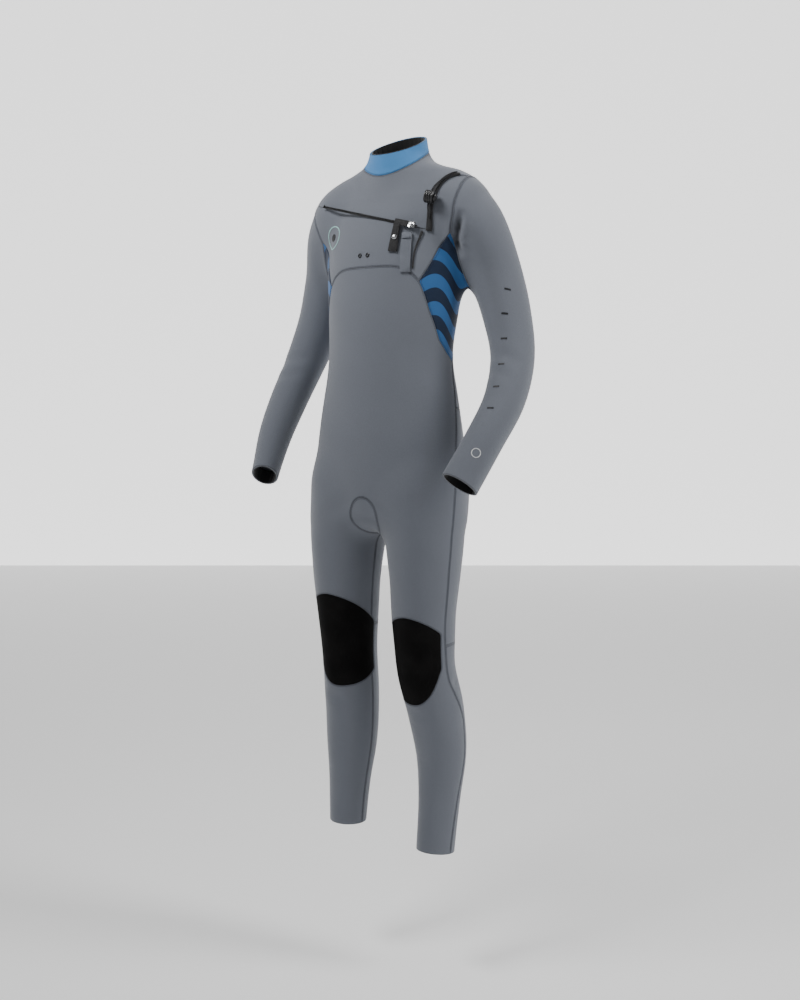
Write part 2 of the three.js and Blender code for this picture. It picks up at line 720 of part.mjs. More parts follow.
// Planes that part the sleeves at the elbow and the legs at the knee.
const plane = (at, facing) => {
  const [a, n] = [new THREE.Vector3(...at), new THREE.Vector3(...facing).normalize()];
  a.set(a.x * round, a.y * round, a.z * long);
  return (p) => (p.x - a.x) * n.x + (p.y - a.y) * n.y + (p.z - a.z) * n.z;
};
const ELBOW = [218, 8, -336];
const foreArm = {
  left: plane(ELBOW, [0.19, -0.36, -0.91]),
  right: plane([-ELBOW[0], ELBOW[1], ELBOW[2]], [-0.19, -0.36, -0.91]),
};
const KNEE = { left: [84, 8, -815], right: [-84, 16, -800] };
const KNEE_FRONT = { left: [84, -90, -922], right: [-84, -86, -909] };
const lowerLeg = {};
for (const side of ["left", "right"]) {
  const [, by, bz] = KNEE[side];
  const [, fy, fz] = KNEE_FRONT[side];
  const cut = plane(KNEE[side], [0, (bz - fz) * long, (fy - by) * round]);
  const sign = side === "left" ? 1 : -1;
  lowerLeg[side] = (p) => Math.min(cut(p), p.x * sign + 5);
}

const waistField = (p) => pattern(p)[2] - (-402 - 0.1 * Math.abs(pattern(p)[0]));

// ---------------------------------------------------------------------------
// Parts laid on the suit
// ---------------------------------------------------------------------------
// The point of the chest at a place seen from the front.
function chestPoint(x, z) {
  return outFrom(new THREE.Vector3(x * round, 0, z * long), new THREE.Vector3(0, -1, 0));
}

// A strip along a line, lying between two heights above the line's own points.
function strip(line, widths, low, high, shift = 0, normalOf = (p) => bodyNormal(p, new THREE.Vector3())) {
  const corners = [];
  line.forEach((p, i) => {
    const t = line[Math.min(i + 1, line.length - 1)].clone().sub(line[Math.max(i - 1, 0)]).normalize();
    const n = normalOf(p);
    n.addScaledVector(t, -n.dot(t)).normalize();
    const b = t.clone().cross(n);
    const [first, last] = Array.isArray(widths) ? widths : [widths, widths];
    const half = (first + ((last - first) * i) / (line.length - 1)) / 2;
    for (const [side, lift] of [[-half, low], [half, low], [half, high], [-half, high]])
      corners.push(p.clone().addScaledVector(b, side + shift).addScaledVector(n, lift));
  });
  const triangles = [[0, 1, 2], [0, 2, 3]];
  for (let i = 0; i < line.length - 1; i++)
    for (let k = 0; k < 4; k++) {
      const [a, b] = [4 * i + k, 4 * i + ((k + 1) % 4)];
      triangles.push([a, a + 4, b], [b, a + 4, b + 4]);
    }
  const e = corners.length - 4;
  triangles.push([e, e + 2, e + 1], [e, e + 3, e + 2]);
  return outwards(geometry(corners, triangles));
}

// A thin patch with the suit's own curve, from its outline in two directions.
function patch(centre, outline, low, high, hole = null) {
  const n = bodyNormal(centre, new THREE.Vector3());
  const u = new THREE.Vector3(0, 0, 1).cross(n).normalize();
  const v = n.clone().cross(u);
  const ring = (scale) =>
    outline.map(([a, b]) => {
      const p = centre.clone().addScaledVector(u, a * scale).addScaledVector(v, b * scale);
      settle(p, 3);
      return p;
    });
  const rings = hole ? [ring(hole), ring(1)] : [ring(0.5), ring(1)];
  const flat = rings.flat();
  const count = outline.length;
  const base = hole ? flat : [...flat, centre.clone()];
  const tris = [];
  for (let i = 0; i < count; i++) {
    const j = (i + 1) % count;
    tris.push([i, count + i, count + j], [i, count + j, j]);
    if (!hole) tris.push([2 * count, i, j]);
  }
  return shell({ points: base, tris }, -high, -low);
}

function outwards(g) {
  const p = g.attributes.position;
  const idx = g.index.array;
  let volume = 0;
  const [a, b, c] = [new THREE.Vector3(), new THREE.Vector3(), new THREE.Vector3()];
  for (let i = 0; i < idx.length; i += 3) {
    a.fromBufferAttribute(p, idx[i]);
    b.fromBufferAttribute(p, idx[i + 1]);
    c.fromBufferAttribute(p, idx[i + 2]);
    volume += a.dot(b.cross(c));
  }
  for (let i = 0; volume < 0 && i < idx.length; i += 3)
    [idx[i + 1], idx[i + 2]] = [idx[i + 2], idx[i + 1]];
  return g;
}

function solid(g) {
  const bare = new THREE.BufferGeometry().setAttribute("position", g.attributes.position);
  if (g.index) bare.setIndex(g.index);
  const merged = mergeVertices(bare, 1e-3);
  return new wasm.Manifold(
    new wasm.Mesh({
      numProp: 3,
      vertProperties: new Float32Array(merged.attributes.position.array),
      triVerts: new Uint32Array(merged.index.array),
    }),
  );
}

function geometryOf(made) {
  const m = made.getMesh();
  const g = new THREE.BufferGeometry();
  g.setAttribute("position", new THREE.Float32BufferAttribute(m.vertProperties, 3));
  g.setIndex(new THREE.BufferAttribute(m.triVerts, 1));
  g.computeVertexNormals();
  return g;
}

// A turned shape, its profile closed on the axis, standing along a direction.
function turned(profile, at, along, segments = 20) {
  const g = new THREE.LatheGeometry(profile.map(([r, h]) => new THREE.Vector2(r, h)), segments);
  const q = new THREE.Quaternion();
  q.setFromUnitVectors(new THREE.Vector3(0, 1, 0), along.clone().normalize());
  g.applyQuaternion(q);
  g.translate(at.x, at.y, at.z);
  return g;
}

// ---------------------------------------------------------------------------
// Materials
// ---------------------------------------------------------------------------
const material = (color, roughness, metalness = 0) =>
  new THREE.MeshStandardMaterial({ color, roughness, metalness, side: THREE.DoubleSide });
const MATERIALS = {
  grey_neoprene: material(0x7a7e88, 0.85),
  black_neoprene: material(0x141416, 0.9),
  knee_rubber: material(0x101012, 0.7),
  collar_blue: material(0x5b9fd6, 0.8),
  wave_print: material(0x1f4f86, 0.85),
  black_lining: material(0x0c0c0e, 0.95),
  black_webbing: material(0x17171a, 0.8),
  black_plastic: material(0x1a1a1c, 0.4),
  steel: material(0xc9ccd0, 0.25, 1),
  badge_ink: material(0xb9dcd6, 0.6),
};

const suit = new THREE.Group();
suit.name = "full_wetsuit";
function add(name, geo, slot) {
  const mesh = new THREE.Mesh(geo, MATERIALS[slot]);
  mesh.name = name;
  suit.add(mesh);
  return mesh;
}

// ---------------------------------------------------------------------------
// The neoprene panels
// ---------------------------------------------------------------------------
const cutFrom = {};
function cutPanels() {
  let rest = whole;
  const take = (name, field) => ([cutFrom[name], rest] = split(rest, field));
  take("collar", collarField);
  take("left_sleeve", leftSleeve);
  take("right_sleeve", rightSleeve);
  take("crotch_gusset", gussetField);
  take("left_side_panel", leftSide);
  take("right_side_panel", rightSide);
  take("left_knee_pad", padField("left"));
  take("right_knee_pad", padField("right"));
  take("left_lower_leg", lowerLeg.left);
  take("right_lower_leg", lowerLeg.right);
  take("neck_yoke", yokeField);
  const [front, back] = split(rest, frontField);
  [cutFrom.chest_panel, cutFrom.front_panel] = split(front, chestField);
  const [high, low] = split(back, waistField);
  cutFrom.back_panel = high;
  [cutFrom.left_seat_panel, cutFrom.right_seat_panel] = split(low, (p) => p.x);
  for (const side of ["left", "right"]) {
    [cutFrom[side + "_shin_panel"], cutFrom[side + "_calf_panel"]] =
      split(cutFrom[side + "_lower_leg"], frontField);
    [cutFrom[side + "_forearm_sleeve"], cutFrom[side + "_upper_sleeve"]] =
      split(cutFrom[side + "_sleeve"], foreArm[side]);
  }
}

const DRAINS = [-17, -1];
const DRAIN_Z = -161;

function addPanels() {
  const slots = { collar: "collar_blue", left_side_panel: "wave_print", right_side_panel: "wave_print",
    left_knee_pad: "knee_rubber", right_knee_pad: "knee_rubber", crotch_gusset: "black_neoprene" };
  const names = [
    "collar", "neck_yoke", "left_side_panel", "right_side_panel", "front_panel", "back_panel",
    "left_seat_panel", "right_seat_panel", "crotch_gusset",
  ];
  for (const side of ["left", "right"])
    for (const piece of ["upper_sleeve", "forearm_sleeve", "knee_pad", "shin_panel", "calf_panel"])
      names.push(side + "_" + piece);
  for (const name of names) add(name, shell(cutFrom[name]), slots[name] || "grey_neoprene");
}

function addChest() {
  let made = solid(shell(cutFrom.chest_panel));
  for (const x of DRAINS) {
    const p = chestPoint(x, DRAIN_Z);
    const hole = [[0, -9], [DRAIN_R, -9], [DRAIN_R, 9], [0, 9]];
    made = made.subtract(solid(turned(hole, p, bodyNormal(p, new THREE.Vector3()), 12)));
  }
  add("chest_panel", geometryOf(made), "grey_neoprene");
}

function addDrains() {
  DRAINS.forEach((x, i) => {
    const p = chestPoint(x, DRAIN_Z);
    const n = bodyNormal(p, new THREE.Vector3());
    const [r, low, high] = [DRAIN_R, CLEAR, CLEAR + 0.9];
    const ring = [[r, low], [r + 2, low], [r + 1.6, high], [r, high], [r, low]];
    add("drain_eyelet_" + (i ? "left" : "right"), turned(ring, p, n, 16), "black_plastic");
  });
}

function addLinings() {
  const [outer, inner] = [SKIN + CLEAR, SKIN + CLEAR + LINING];
  add("collar_lining", shell(clip(cutFrom.collar, collarField, 2), outer, inner), "black_lining");
  for (const side of ["left", "right"]) {
    const end = ends[side + "_cuff"];
    const upFromRim = (p) => p.clone().sub(end.at).dot(end.n) + CUFF_LINING;
    const near = clip(cutFrom[side + "_forearm_sleeve"], upFromRim, 0);
    add(side + "_cuff_lining", shell(near, outer, inner), "black_lining");
  }
}

// ---------------------------------------------------------------------------
// The zip, its garage, and the drawcord of the shoulder
// ---------------------------------------------------------------------------
const ZIP_FROM = 74; // where the slider is parked, at the wearer's left
const ZIP_TO = -120;

// The zip runs along a true arc, so that its slider turns about the arc's centre.
function zipArc() {
  const [a, b, c] = [ZIP_FROM, (ZIP_FROM + ZIP_TO) / 2, ZIP_TO].map((x) => chestPoint(x, zipZ(x)));
  const axis = a.clone().sub(b).cross(c.clone().sub(b)).normalize();
  const [ab, cb] = [a.clone().sub(b), c.clone().sub(b)];
  const cross = ab.clone().cross(cb);
  const centre = cb.clone().multiplyScalar(ab.lengthSq());
  centre.sub(ab.clone().multiplyScalar(cb.lengthSq())).cross(cross);
  centre.multiplyScalar(1 / (2 * cross.lengthSq())).add(b);
  if (centre.distanceTo(a) > 5000) throw new Error("the zip has no arc");
  const across = a.clone().sub(centre);
  const radius = across.length();
  const first = across.clone().normalize();
  const second = axis.clone().cross(first);
  const total = first.angleTo(c.clone().sub(centre));
  const sense = second.dot(c.clone().sub(centre)) > 0 ? 1 : -1;
  return { centre, axis: axis.multiplyScalar(sense), radius, first, second: second.multiplyScalar(sense),
    total };
}
const arc = zipArc();
const radial = (angle) => arc.first.clone().multiplyScalar(Math.cos(angle))
  .addScaledVector(arc.second, Math.sin(angle));
const arcPoint = (angle, extra = 0) => arc.centre.clone()
  .addScaledVector(radial(angle), arc.radius + extra);
// How far the chest rises over the arc, and how its face leans out of the arc's plane.
let rise = -10;
for (let i = 0; i <= 20; i++) rise =
  Math.max(rise, -bodyDistance(...arcPoint((arc.total * i) / 20).toArray()));
const lean = Math.asin(bodyNormal(arcPoint(arc.total / 2), new THREE.Vector3()).dot(arc.axis));
const zipNormal = (angle) => radial(angle).multiplyScalar(Math.cos(lean))
  .addScaledVector(arc.axis, Math.sin(lean));
const zipBase = (angle) => arcPoint(angle).addScaledVector(zipNormal(angle), rise);
const zipLine = (from, to, steps) => Array.from({ length: steps + 1 }, (_, i) => zipBase(from
  + ((to - from) * i) / steps));
const zipNormalAt = (p) => {
  const q = p.clone().sub(arc.centre);
  return zipNormal(Math.atan2(q.dot(arc.second), q.dot(arc.first)));
};
const turn = (mm) => mm / arc.radius;

function addZip() {
  const line = zipLine(turn(-9), arc.total, 18);
  const teeth = zipLine(turn(-7), arc.total - turn(3), 18);
  for (const [name, sign] of [["upper", 1], ["lower", -1]]) {
    const tape = strip(line, ZIP_TAPE, CLEAR, CLEAR + 0.7, sign * (ZIP_TAPE / 2 + CLEAR), zipNormalAt);
    add("zip_tape_" + name, tape, "black_webbing");
    const coil = strip(teeth, ZIP_COIL, 1.5, 3, sign * (ZIP_COIL / 2 + CLEAR / 2), zipNormalAt);
    add("zip_teeth_" + name, coil, "black_plastic");
  }
  const stop = strip(zipLine(arc.total - turn(2.4), arc.total - turn(0.2), 2), 6, 1.5, 3.6, 0,
    zipNormalAt);
  add("zip_end_stop", stop, "steel");
}

const sliderHalf = SLIDER_LENGTH / 2;
function addSlider() {
  const box = (from, to, wide, low, high, shift = 0) =>
    solid(strip(zipLine(turn(from), turn(to), 3), wide, low, high, shift, zipNormalAt));
  const inner = ZIP_TAPE + 2.5 * CLEAR; // the flanges start just clear of the tapes
  const wall = SLIDER_WIDTH / 2 - inner;
  const side = inner + wall / 2;
  let made = box(-sliderHalf, sliderHalf, SLIDER_WIDTH, 3.4, 5);
  made = made.add(box(-sliderHalf + 1, sliderHalf - 1, wall, 1.6, 4, side))
    .add(box(-sliderHalf + 1, sliderHalf - 1, wall, 1.6, 4, -side));
  made = made.add(box(-3.5, 3.5, 3, 4.5, 7.4));
  add("zip_slider", geometryOf(made), "steel");
}

// The ribbon lies along the zip, turns the corner and hangs down the chest.
const PULL_AT = sliderHalf + CLEAR;
const PULL_CORNER = 19; // along the zip, from there to the middle of the hanging part
function pullLine() {
  const corner = turn(PULL_AT + PULL_CORNER);
  const top = zipBase(corner);
  const down = [];
  for (let i = 0; i <= 6; i++) {
    const s = i / 6;
    const p = chestPoint(top.x / round - 3 * s, top.z / long - 2 - (PULL_DROP + 4) * s);
    down.push(p.addScaledVector(bodyNormal(p, new THREE.Vector3()), 6.2 - 3.4 * s));
  }
  return down;
}
function addPull() {
  const along = zipLine(turn(PULL_AT), turn(PULL_AT + PULL_CORNER + PULL_WIDTH / 2 - 1), 5);
  const bar = solid(strip(along, PULL_WIDTH - 3, 3.6, 5.4, 0, zipNormalAt));
  const hang = solid(strip(pullLine(), [PULL_WIDTH - 2, PULL_WIDTH + 3], -0.9, 0.9, 0));
  add("pull_tab", geometryOf(bar.add(hang)), "black_webbing");
  const line = pullLine();
  const at = line[3];
  const n = bodyNormal(at, new THREE.Vector3());
  const foot = at.clone().addScaledVector(n, 1.2 + CLEAR);
  const dome = [[0, 0], [RIVET_R, 0], [RIVET_R, 0.5], [RIVET_R * 0.8, 1.2], [RIVET_R * 0.4, 1.7], [0,
    1.8]];
  add("pull_rivet", turned(dome, foot, n, 20), "steel");
}

function addGarage() {
  const line = (x0, x1, z0, z1, steps) =>
    Array.from({ length: steps + 1 }, (_, i) =>
      chestPoint(x0 + ((x1 - x0) * i) / steps, z0 + ((z1 - z0) * i) / steps));
  const top = -128;
  const flap = solid(strip(line(67, 69.5, top, top - FLAP_LENGTH / long, 6), FLAP_WIDTH / round, 1.2,
    3.8));
  const fold = solid(strip(line(67.2, 67.6, top - 1, top - 10, 2), FLAP_WIDTH / round - 1, 3.4, 6.2));
  add("garage_flap", geometryOf(flap.add(fold)), "grey_neoprene");
  const edge = [[89.5, -126], [88, -134], [85, -143], [82.5, -152], [81, -162], [80.6, -174], [80.6,
    -187]];
  add("garage_binding", strip(edge.map(([x, z]) => chestPoint(x, z)), [4, 2], CLEAR,
    2.4), "black_webbing");
}

// Round the shoulder in the strap's own upright plane.
const STRAP_HEART = new THREE.Vector3(136 * round, -20 * round, -92 * long);
function strapPoint(degrees) {
  const a = THREE.MathUtils.degToRad(degrees);
  const forward = new THREE.Vector3(-0.682, -0.731, 0);
  return outFrom(STRAP_HEART, forward.multiplyScalar(Math.cos(a))
    .add(new THREE.Vector3(0, 0, Math.sin(a))), 120);
}
const strapLine = (from, to, steps) => Array.from({ length: steps + 1 }, (_, i) => strapPoint(from
  + ((to - from) * i) / steps));
const LOCK_AT = 19; // degrees round the strap
const BINDING_LOW = 2.2;
const CORD_HIGH = 9.6; // of the cord over the strap where the lock grips it

function addShoulderCord() {
  add("shoulder_binding", strip(strapLine(-17, 88, 14), [12, 7], BINDING_LOW, BINDING_LOW
    + 1.8), "black_webbing");
  const line = [];
  for (let i = 0; i <= 16; i++) {
    const degrees = -15 + 99 * (i / 16);
    const p = strapPoint(degrees);
    const near = THREE.MathUtils.smoothstep(34 - Math.abs(degrees - LOCK_AT), 0, 18);
    const low = BINDING_LOW + 2.2 + CORD_R;
    line.push(p.addScaledVector(bodyNormal(p, new THREE.Vector3()), low + (CORD_HIGH - low) * near));
  }
  const sections = 8;
  const corners = [];
  line.forEach((p, i) => {
    const t = line[Math.min(i + 1, 16)].clone().sub(line[Math.max(i - 1, 0)]).normalize();
    const n = bodyNormal(p, new THREE.Vector3());
    n.addScaledVector(t, -n.dot(t)).normalize();
    const b = t.clone().cross(n);
    for (let k = 0; k < sections; k++) {
      const a = (2 * Math.PI * k) / sections;
      corners.push(p.clone().addScaledVector(n, CORD_R * Math.cos(a))
        .addScaledVector(b, CORD_R * Math.sin(a)));
    }
  });
  const triangles = [];
  for (let i = 0; i < 16; i++)
    for (let k = 0; k < sections; k++) {
      const [a, b] = [sections * i + k, sections * i + ((k + 1) % sections)];
      triangles.push([a, b, a + sections], [b, b + sections, a + sections]);
    }
  for (let k = 1; k < sections - 1; k++) {
    const e = sections * 16;
    triangles.push([0, k + 1, k], [e, e + k, e + k + 1]);
  }
  add("shock_cord", outwards(geometry(corners, triangles)), "black_webbing");
}

const lockAxis = new THREE.Vector3(0.95, 0.25, -0.17).normalize();
function lockFrame() {
  const p = strapPoint(LOCK_AT);
  const n = bodyNormal(p, new THREE.Vector3());
  const along = strapPoint(LOCK_AT + 4).sub(strapPoint(LOCK_AT - 4)).normalize();
  const axis = lockAxis.clone().addScaledVector(along, -lockAxis.dot(along)).normalize();
  const out = axis.clone().cross(along).normalize();
  if (out.dot(n) < 0) out.negate();
  const cord = p.clone().addScaledVector(n, CORD_HIGH);
  const heart = cord.clone().addScaledVector(out, LOCK_R - CORD_R - 2.4);
  return { p, n, along, axis, out, cord, heart };
}

function addCordLock() {
  const { along, axis, cord, heart } = lockFrame();
  const profile = [[0, -5]];
  const rings = 4;
  for (let i = 0; i < rings; i++) {
    const h = -5 + (LOCK_LENGTH * i) / rings;
    const step = LOCK_LENGTH / rings;
    profile.push([LOCK_R - 1.2, h], [LOCK_R, h + 0.3 * step], [LOCK_R, h + 0.7 * step]);
  }
  profile.push([LOCK_R - 1.2, LOCK_LENGTH - 5], [0, LOCK_LENGTH - 5]);
  let made = solid(turned(profile, heart, axis, 24));
  const bore = CORD_R + 0.95;
  made = made.subtract(solid(turned([[0, -30], [bore, -30], [bore, 30], [0, 30]], cord, along, 12)));
  const well = BUTTON_R + CLEAR;
  const deep = 4.5;
  const floor = heart.clone().addScaledVector(axis, LOCK_LENGTH - 5 - deep);
  made = made.subtract(solid(turned([[0, 0], [well, 0], [well, 9], [0, 9]], floor, axis, 24)));
  const pieces = made.decompose().sort((a, b) => b.volume() - a.volume());
  add("cord_lock_body", geometryOf(pieces[0]), "black_plastic");
  const foot = heart.clone().addScaledVector(axis, LOCK_LENGTH - 5 - deep + 3.4);
  const top = deep - 3.4 + 3.6;
  const cap = [[0, 0], [BUTTON_R, 0], [BUTTON_R, top - 1], [BUTTON_R - 1, top], [0, top + 0.4]];
  add("cord_lock_button", turned(cap, foot, axis, 24), "black_plastic");
}

// ---------------------------------------------------------------------------
// Printed badges
// ---------------------------------------------------------------------------
function circle(r, count = 20) {
  return Array.from({ length: count }, (_, i) => {
    const a = (2 * Math.PI * i) / count;
    return [r * Math.cos(a), r * Math.sin(a)];
  });
}
function addBadges() {
  add("chest_badge", patch(chestPoint(-96, -123), circle(12), 1.5, 2), "badge_ink");
  const from = leftArm[Math.round(6.2 * LIMB_STEPS)].middle;
  const at = outFrom(from, new THREE.Vector3(0.35, -0.9, -0.15).normalize(), 80);
  add("cuff_badge", patch(at, circle(8, 16), 0.9, 1.4), "badge_ink");
}

// What the joints turn about, kept with the group for whoever drives it.
function joints() {
  const list = {};
  for (const [side, sign] of [["left", 1], ["right", -1]]) {
    const n = new THREE.Vector3(0.19 * sign, -0.36, -0.91).normalize();
    const d = new THREE.Vector3(0, -1, 0);
    d.addScaledVector(n, -d.dot(n)).normalize();
    const from = new THREE.Vector3(ELBOW[0] * sign * round, ELBOW[1] * round, ELBOW[2] * long);
    const at = outFrom(from, d, 80).addScaledVector(d, 1);
    const axis = d.clone().cross(n).normalize();
    if (axis.x > 0) axis.negate();
    list[side + "_elbow"] = { type: "hinge", at, axis, range: [0, 75] };
    const [x, y, z] = KNEE[side];
    const knee = new THREE.Vector3(x * round, y * round, z * long);
    list[side + "_knee"] = { type: "hinge", at: knee, axis: new THREE.Vector3(1, 0, 0), range: [0, 85] };
  }
  const travel = THREE.MathUtils.radToDeg(arc.total) * 0.82;
  list.zip_travel = { type: "hinge", at: arc.centre, axis: arc.axis, range: [0, travel] };
  const middle = turn(PULL_AT + PULL_CORNER / 2);
  const up = zipNormal(middle).clone().cross(radial(middle + 0.01).sub(radial(middle))).normalize();
  if (up.z < 0) up.negate();
  const swing = zipBase(middle).addScaledVector(zipNormal(middle), 3.6)
    .addScaledVector(up, (PULL_WIDTH - 3) / 2);
  const back = radial(middle + 0.01).sub(radial(middle)).normalize();
  list.pull_swing = { type: "hinge", at: swing, axis: back, range: [0, 100] };
  const lock = lockFrame();
  list.lock_slide = { type: "slide", at: lock.heart, axis: lock.along, range: [-3, 6] };
  list.button_press = { type: "slide", at: lock.heart, axis: lock.axis.clone().negate(), range: [0, 3] };
  const foot = chestPoint(69.5, -128 - FLAP_LENGTH / long);
  const n = bodyNormal(foot, new THREE.Vector3());
  const level = new THREE.Vector3(0, 0, 1).cross(n).normalize();
  list.flap_lift = { type: "hinge", at: foot.addScaledVector(n, 1.2), axis: level, range: [0, 60] };
  return list;
}
suit.userData.joints = joints();
suit.userData.rims = ends;

cutPanels();
addPanels();
addChest();
addDrains();
addLinings();
addZip();
addSlider();
addPull();
addGarage();
addShoulderCord();
addCordLock();
addBadges();

export default suit;
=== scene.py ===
import json
import math

import bmesh
import bpy
import numpy as np
from mathutils import Matrix, Vector
from mathutils.kdtree import KDTree

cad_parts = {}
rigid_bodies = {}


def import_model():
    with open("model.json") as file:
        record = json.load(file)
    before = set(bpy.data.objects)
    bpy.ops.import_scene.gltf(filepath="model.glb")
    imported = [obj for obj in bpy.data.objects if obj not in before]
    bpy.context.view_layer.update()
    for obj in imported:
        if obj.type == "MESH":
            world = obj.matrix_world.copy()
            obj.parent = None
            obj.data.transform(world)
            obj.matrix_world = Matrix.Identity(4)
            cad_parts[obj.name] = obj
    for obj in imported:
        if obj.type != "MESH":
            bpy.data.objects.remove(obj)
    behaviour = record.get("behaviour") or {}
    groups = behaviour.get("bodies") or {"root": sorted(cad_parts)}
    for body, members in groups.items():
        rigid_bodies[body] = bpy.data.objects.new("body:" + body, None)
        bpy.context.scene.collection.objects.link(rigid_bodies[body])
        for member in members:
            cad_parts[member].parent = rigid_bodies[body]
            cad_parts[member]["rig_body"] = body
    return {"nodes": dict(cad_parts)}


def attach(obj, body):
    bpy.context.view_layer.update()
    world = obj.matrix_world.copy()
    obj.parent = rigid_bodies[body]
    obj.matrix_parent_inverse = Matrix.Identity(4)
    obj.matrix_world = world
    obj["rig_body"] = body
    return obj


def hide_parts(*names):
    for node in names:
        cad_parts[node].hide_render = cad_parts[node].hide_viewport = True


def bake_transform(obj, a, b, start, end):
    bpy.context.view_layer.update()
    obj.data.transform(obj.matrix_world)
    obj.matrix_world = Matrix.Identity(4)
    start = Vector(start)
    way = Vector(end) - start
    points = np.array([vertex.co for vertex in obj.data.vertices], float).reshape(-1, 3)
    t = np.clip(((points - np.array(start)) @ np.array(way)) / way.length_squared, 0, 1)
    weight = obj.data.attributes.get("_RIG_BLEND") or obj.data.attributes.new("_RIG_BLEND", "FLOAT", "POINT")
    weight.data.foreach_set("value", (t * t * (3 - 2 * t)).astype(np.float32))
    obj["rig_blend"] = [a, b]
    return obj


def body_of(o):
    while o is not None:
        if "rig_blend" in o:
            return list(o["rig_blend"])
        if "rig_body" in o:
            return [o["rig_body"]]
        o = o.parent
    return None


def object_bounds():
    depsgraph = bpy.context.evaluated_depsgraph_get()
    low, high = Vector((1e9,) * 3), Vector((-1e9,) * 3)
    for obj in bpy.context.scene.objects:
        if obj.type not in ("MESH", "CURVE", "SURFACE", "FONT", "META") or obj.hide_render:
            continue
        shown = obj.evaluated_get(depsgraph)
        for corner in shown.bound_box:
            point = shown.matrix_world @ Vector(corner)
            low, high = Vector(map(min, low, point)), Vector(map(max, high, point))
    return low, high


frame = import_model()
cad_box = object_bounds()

# ---------------------------------------------------------------------------
# A youth's chest-zip full wetsuit. The cloth is cut and sewn in millimetres,
# in the same frame as the CAD parts, and every finished mesh is in metres.
# ---------------------------------------------------------------------------
MM = 0.001

# Cloth
CLOTH_GRAIN = 4.6  # distance between the cloth's mesh points
CLOTH_THICK = 2.6
SEAM_GAP = 0.24  # between two panels that are glued edge to edge
SEAM_ROLL = 1.5  # how far from its edge a panel starts to roll down
SEAM_DEPTH = 0.75

# Stitching
STITCH_FROM_EDGE = 2.0
STITCH_PITCH = 3.0
STITCH_LENGTH = 2.6
STITCH_THICK = 0.82

# The torso: height, half width, depth before and behind the middle line, middle line
TORSO = np.array([
    (-640, 110, 62, 70, -36), (-600, 136, 78, 90, -36), (-540, 145, 86, 98, -34),
    (-470, 140, 86, 92, -32), (-400, 129, 82, 82, -30), (-326, 118, 80, 72, -28),
    (-250, 124, 84, 76, -20), (-180, 133, 86, 84, -10), (-140, 136, 84, 84, -4),
    (-100, 140, 76, 80, 0), (-62, 140, 60, 70, 0), (-38, 128, 50, 58, 0),
    (-20, 108, 45, 50, 0), (-4, 72, 42, 46, 0), (14, 42, 38, 40, 0), (40, 34, 32, 34, -2),
], float)

# Tubes: middle line, half width, half depth and turn in degrees
NECK = [(0, 6, -50, 54, 56, 0), (0, 4, -15, 53, 54, 0), (0, 0, 5, 51, 51, 0),
        (0, -4, 35, 49, 49, 0), (0, -8, 70, 48, 48, 0)]
ARM = [(126, 2, -84, 48, 54, 0), (151, 10, -120, 46, 50, 0), (174, 26, -188, 44, 45, 0),
       (197, 26, -260, 40, 41, 0), (218, 10, -330, 36, 37, 0), (226, -30, -400, 33, 34, 10),
       (218, -78, -463, 29, 32, 25), (202, -126, -532, 24, 32, 35)]
RIGHT_LEG = [(-76, -36, -560, 66, 72, 0), (-81, -40, -620, 66, 71, 0), (-84, -42, -690, 60, 64, 0),
             (-85, -39, -760, 54, 57, 0), (-84, -36, -840, 48, 51, 0), (-83, -31, -920, 48, 49, 0),
             (-85, -28, -1000, 45, 47, 0), (-88, -31, -1075, 37, 40, 0), (-90, -35, -1156, 32, 34, 0)]
LEFT_LEG = [(76, -36, -566, 66, 72, 0), (81, -42, -630, 66, 70, 0), (83, -46, -700, 59, 62, 0),
            (83, -48, -775, 53, 55, 0), (84, -42, -855, 49, 51, 0), (87, -16, -935, 48, 50, 0),
            (89, -2, -1012, 43, 45, 0), (89, -8, -1092, 36, 37, 0), (89, -20, -1179, 33, 34, 0)]
CROTCH_Z = -622
NECK_TILT = math.tan(math.radians(25))
SIDE_RISE = 12


# ---------------------------------------------------------------------------
# The body that the cloth lies on, as a distance that is below zero inside
# ---------------------------------------------------------------------------
def cubic(a, b, c, d, t):
    """The smooth curve through b and c, t of the way between them."""
    return 0.5 * (2 * b + (c - a) * t + (2 * a - 5 * b + 4 * c - d) * t * t
                  + (3 * b - a - 3 * c + d) * t ** 3)


def between(table, place):
    last = len(table) - 1
    at = np.clip(place, 0, last)
    i = np.minimum(at.astype(int), last - 1)
    a, b, c, d = (table[np.clip(i + k, 0, last)] for k in (-1, 0, 1, 2))
    return cubic(a, b, c, d, (at - i)[:, None])


SECTION_Z = np.arange(TORSO[0, 0], TORSO[-1, 0] + 1)
SECTIONS = between(TORSO[:, 1:], np.interp(SECTION_Z, TORSO[:, 0], np.arange(len(TORSO))))


def torso_section(z):
    at = np.clip(z - SECTION_Z[0], 0, len(SECTION_Z) - 1.001)
    i = at.astype(int)
    t = (at - i)[:, None]
    return (SECTIONS[i] * (1 - t) + SECTIONS[i + 1] * t).T


def ellipse_distance(u, v, a, b):
    near = np.hypot(u / a, v / b)
    slope = np.hypot(u / a ** 2, v / b ** 2)
    return np.where(slope < 1e-9, -np.minimum(a, b), near * (near - 1) / np.maximum(slope, 1e-9))


def torso_flat(x, y, z):
    wide, front, back, middle = torso_section(z)
    return ellipse_distance(x, y - middle, wide, np.where(y < middle, front, back))


def smooth_min(a, b, k):
    h = np.maximum(k - np.abs(a - b), 0) / k
    return np.minimum(a, b) - h * h * k / 4


def torso_distance(x, y, z):
    slope = (torso_flat(x, y, z + 4) - torso_flat(x, y, z - 4)) / 8
    return -smooth_min(-torso_flat(x, y, z) / np.hypot(1, slope), z - CROTCH_Z, 40)


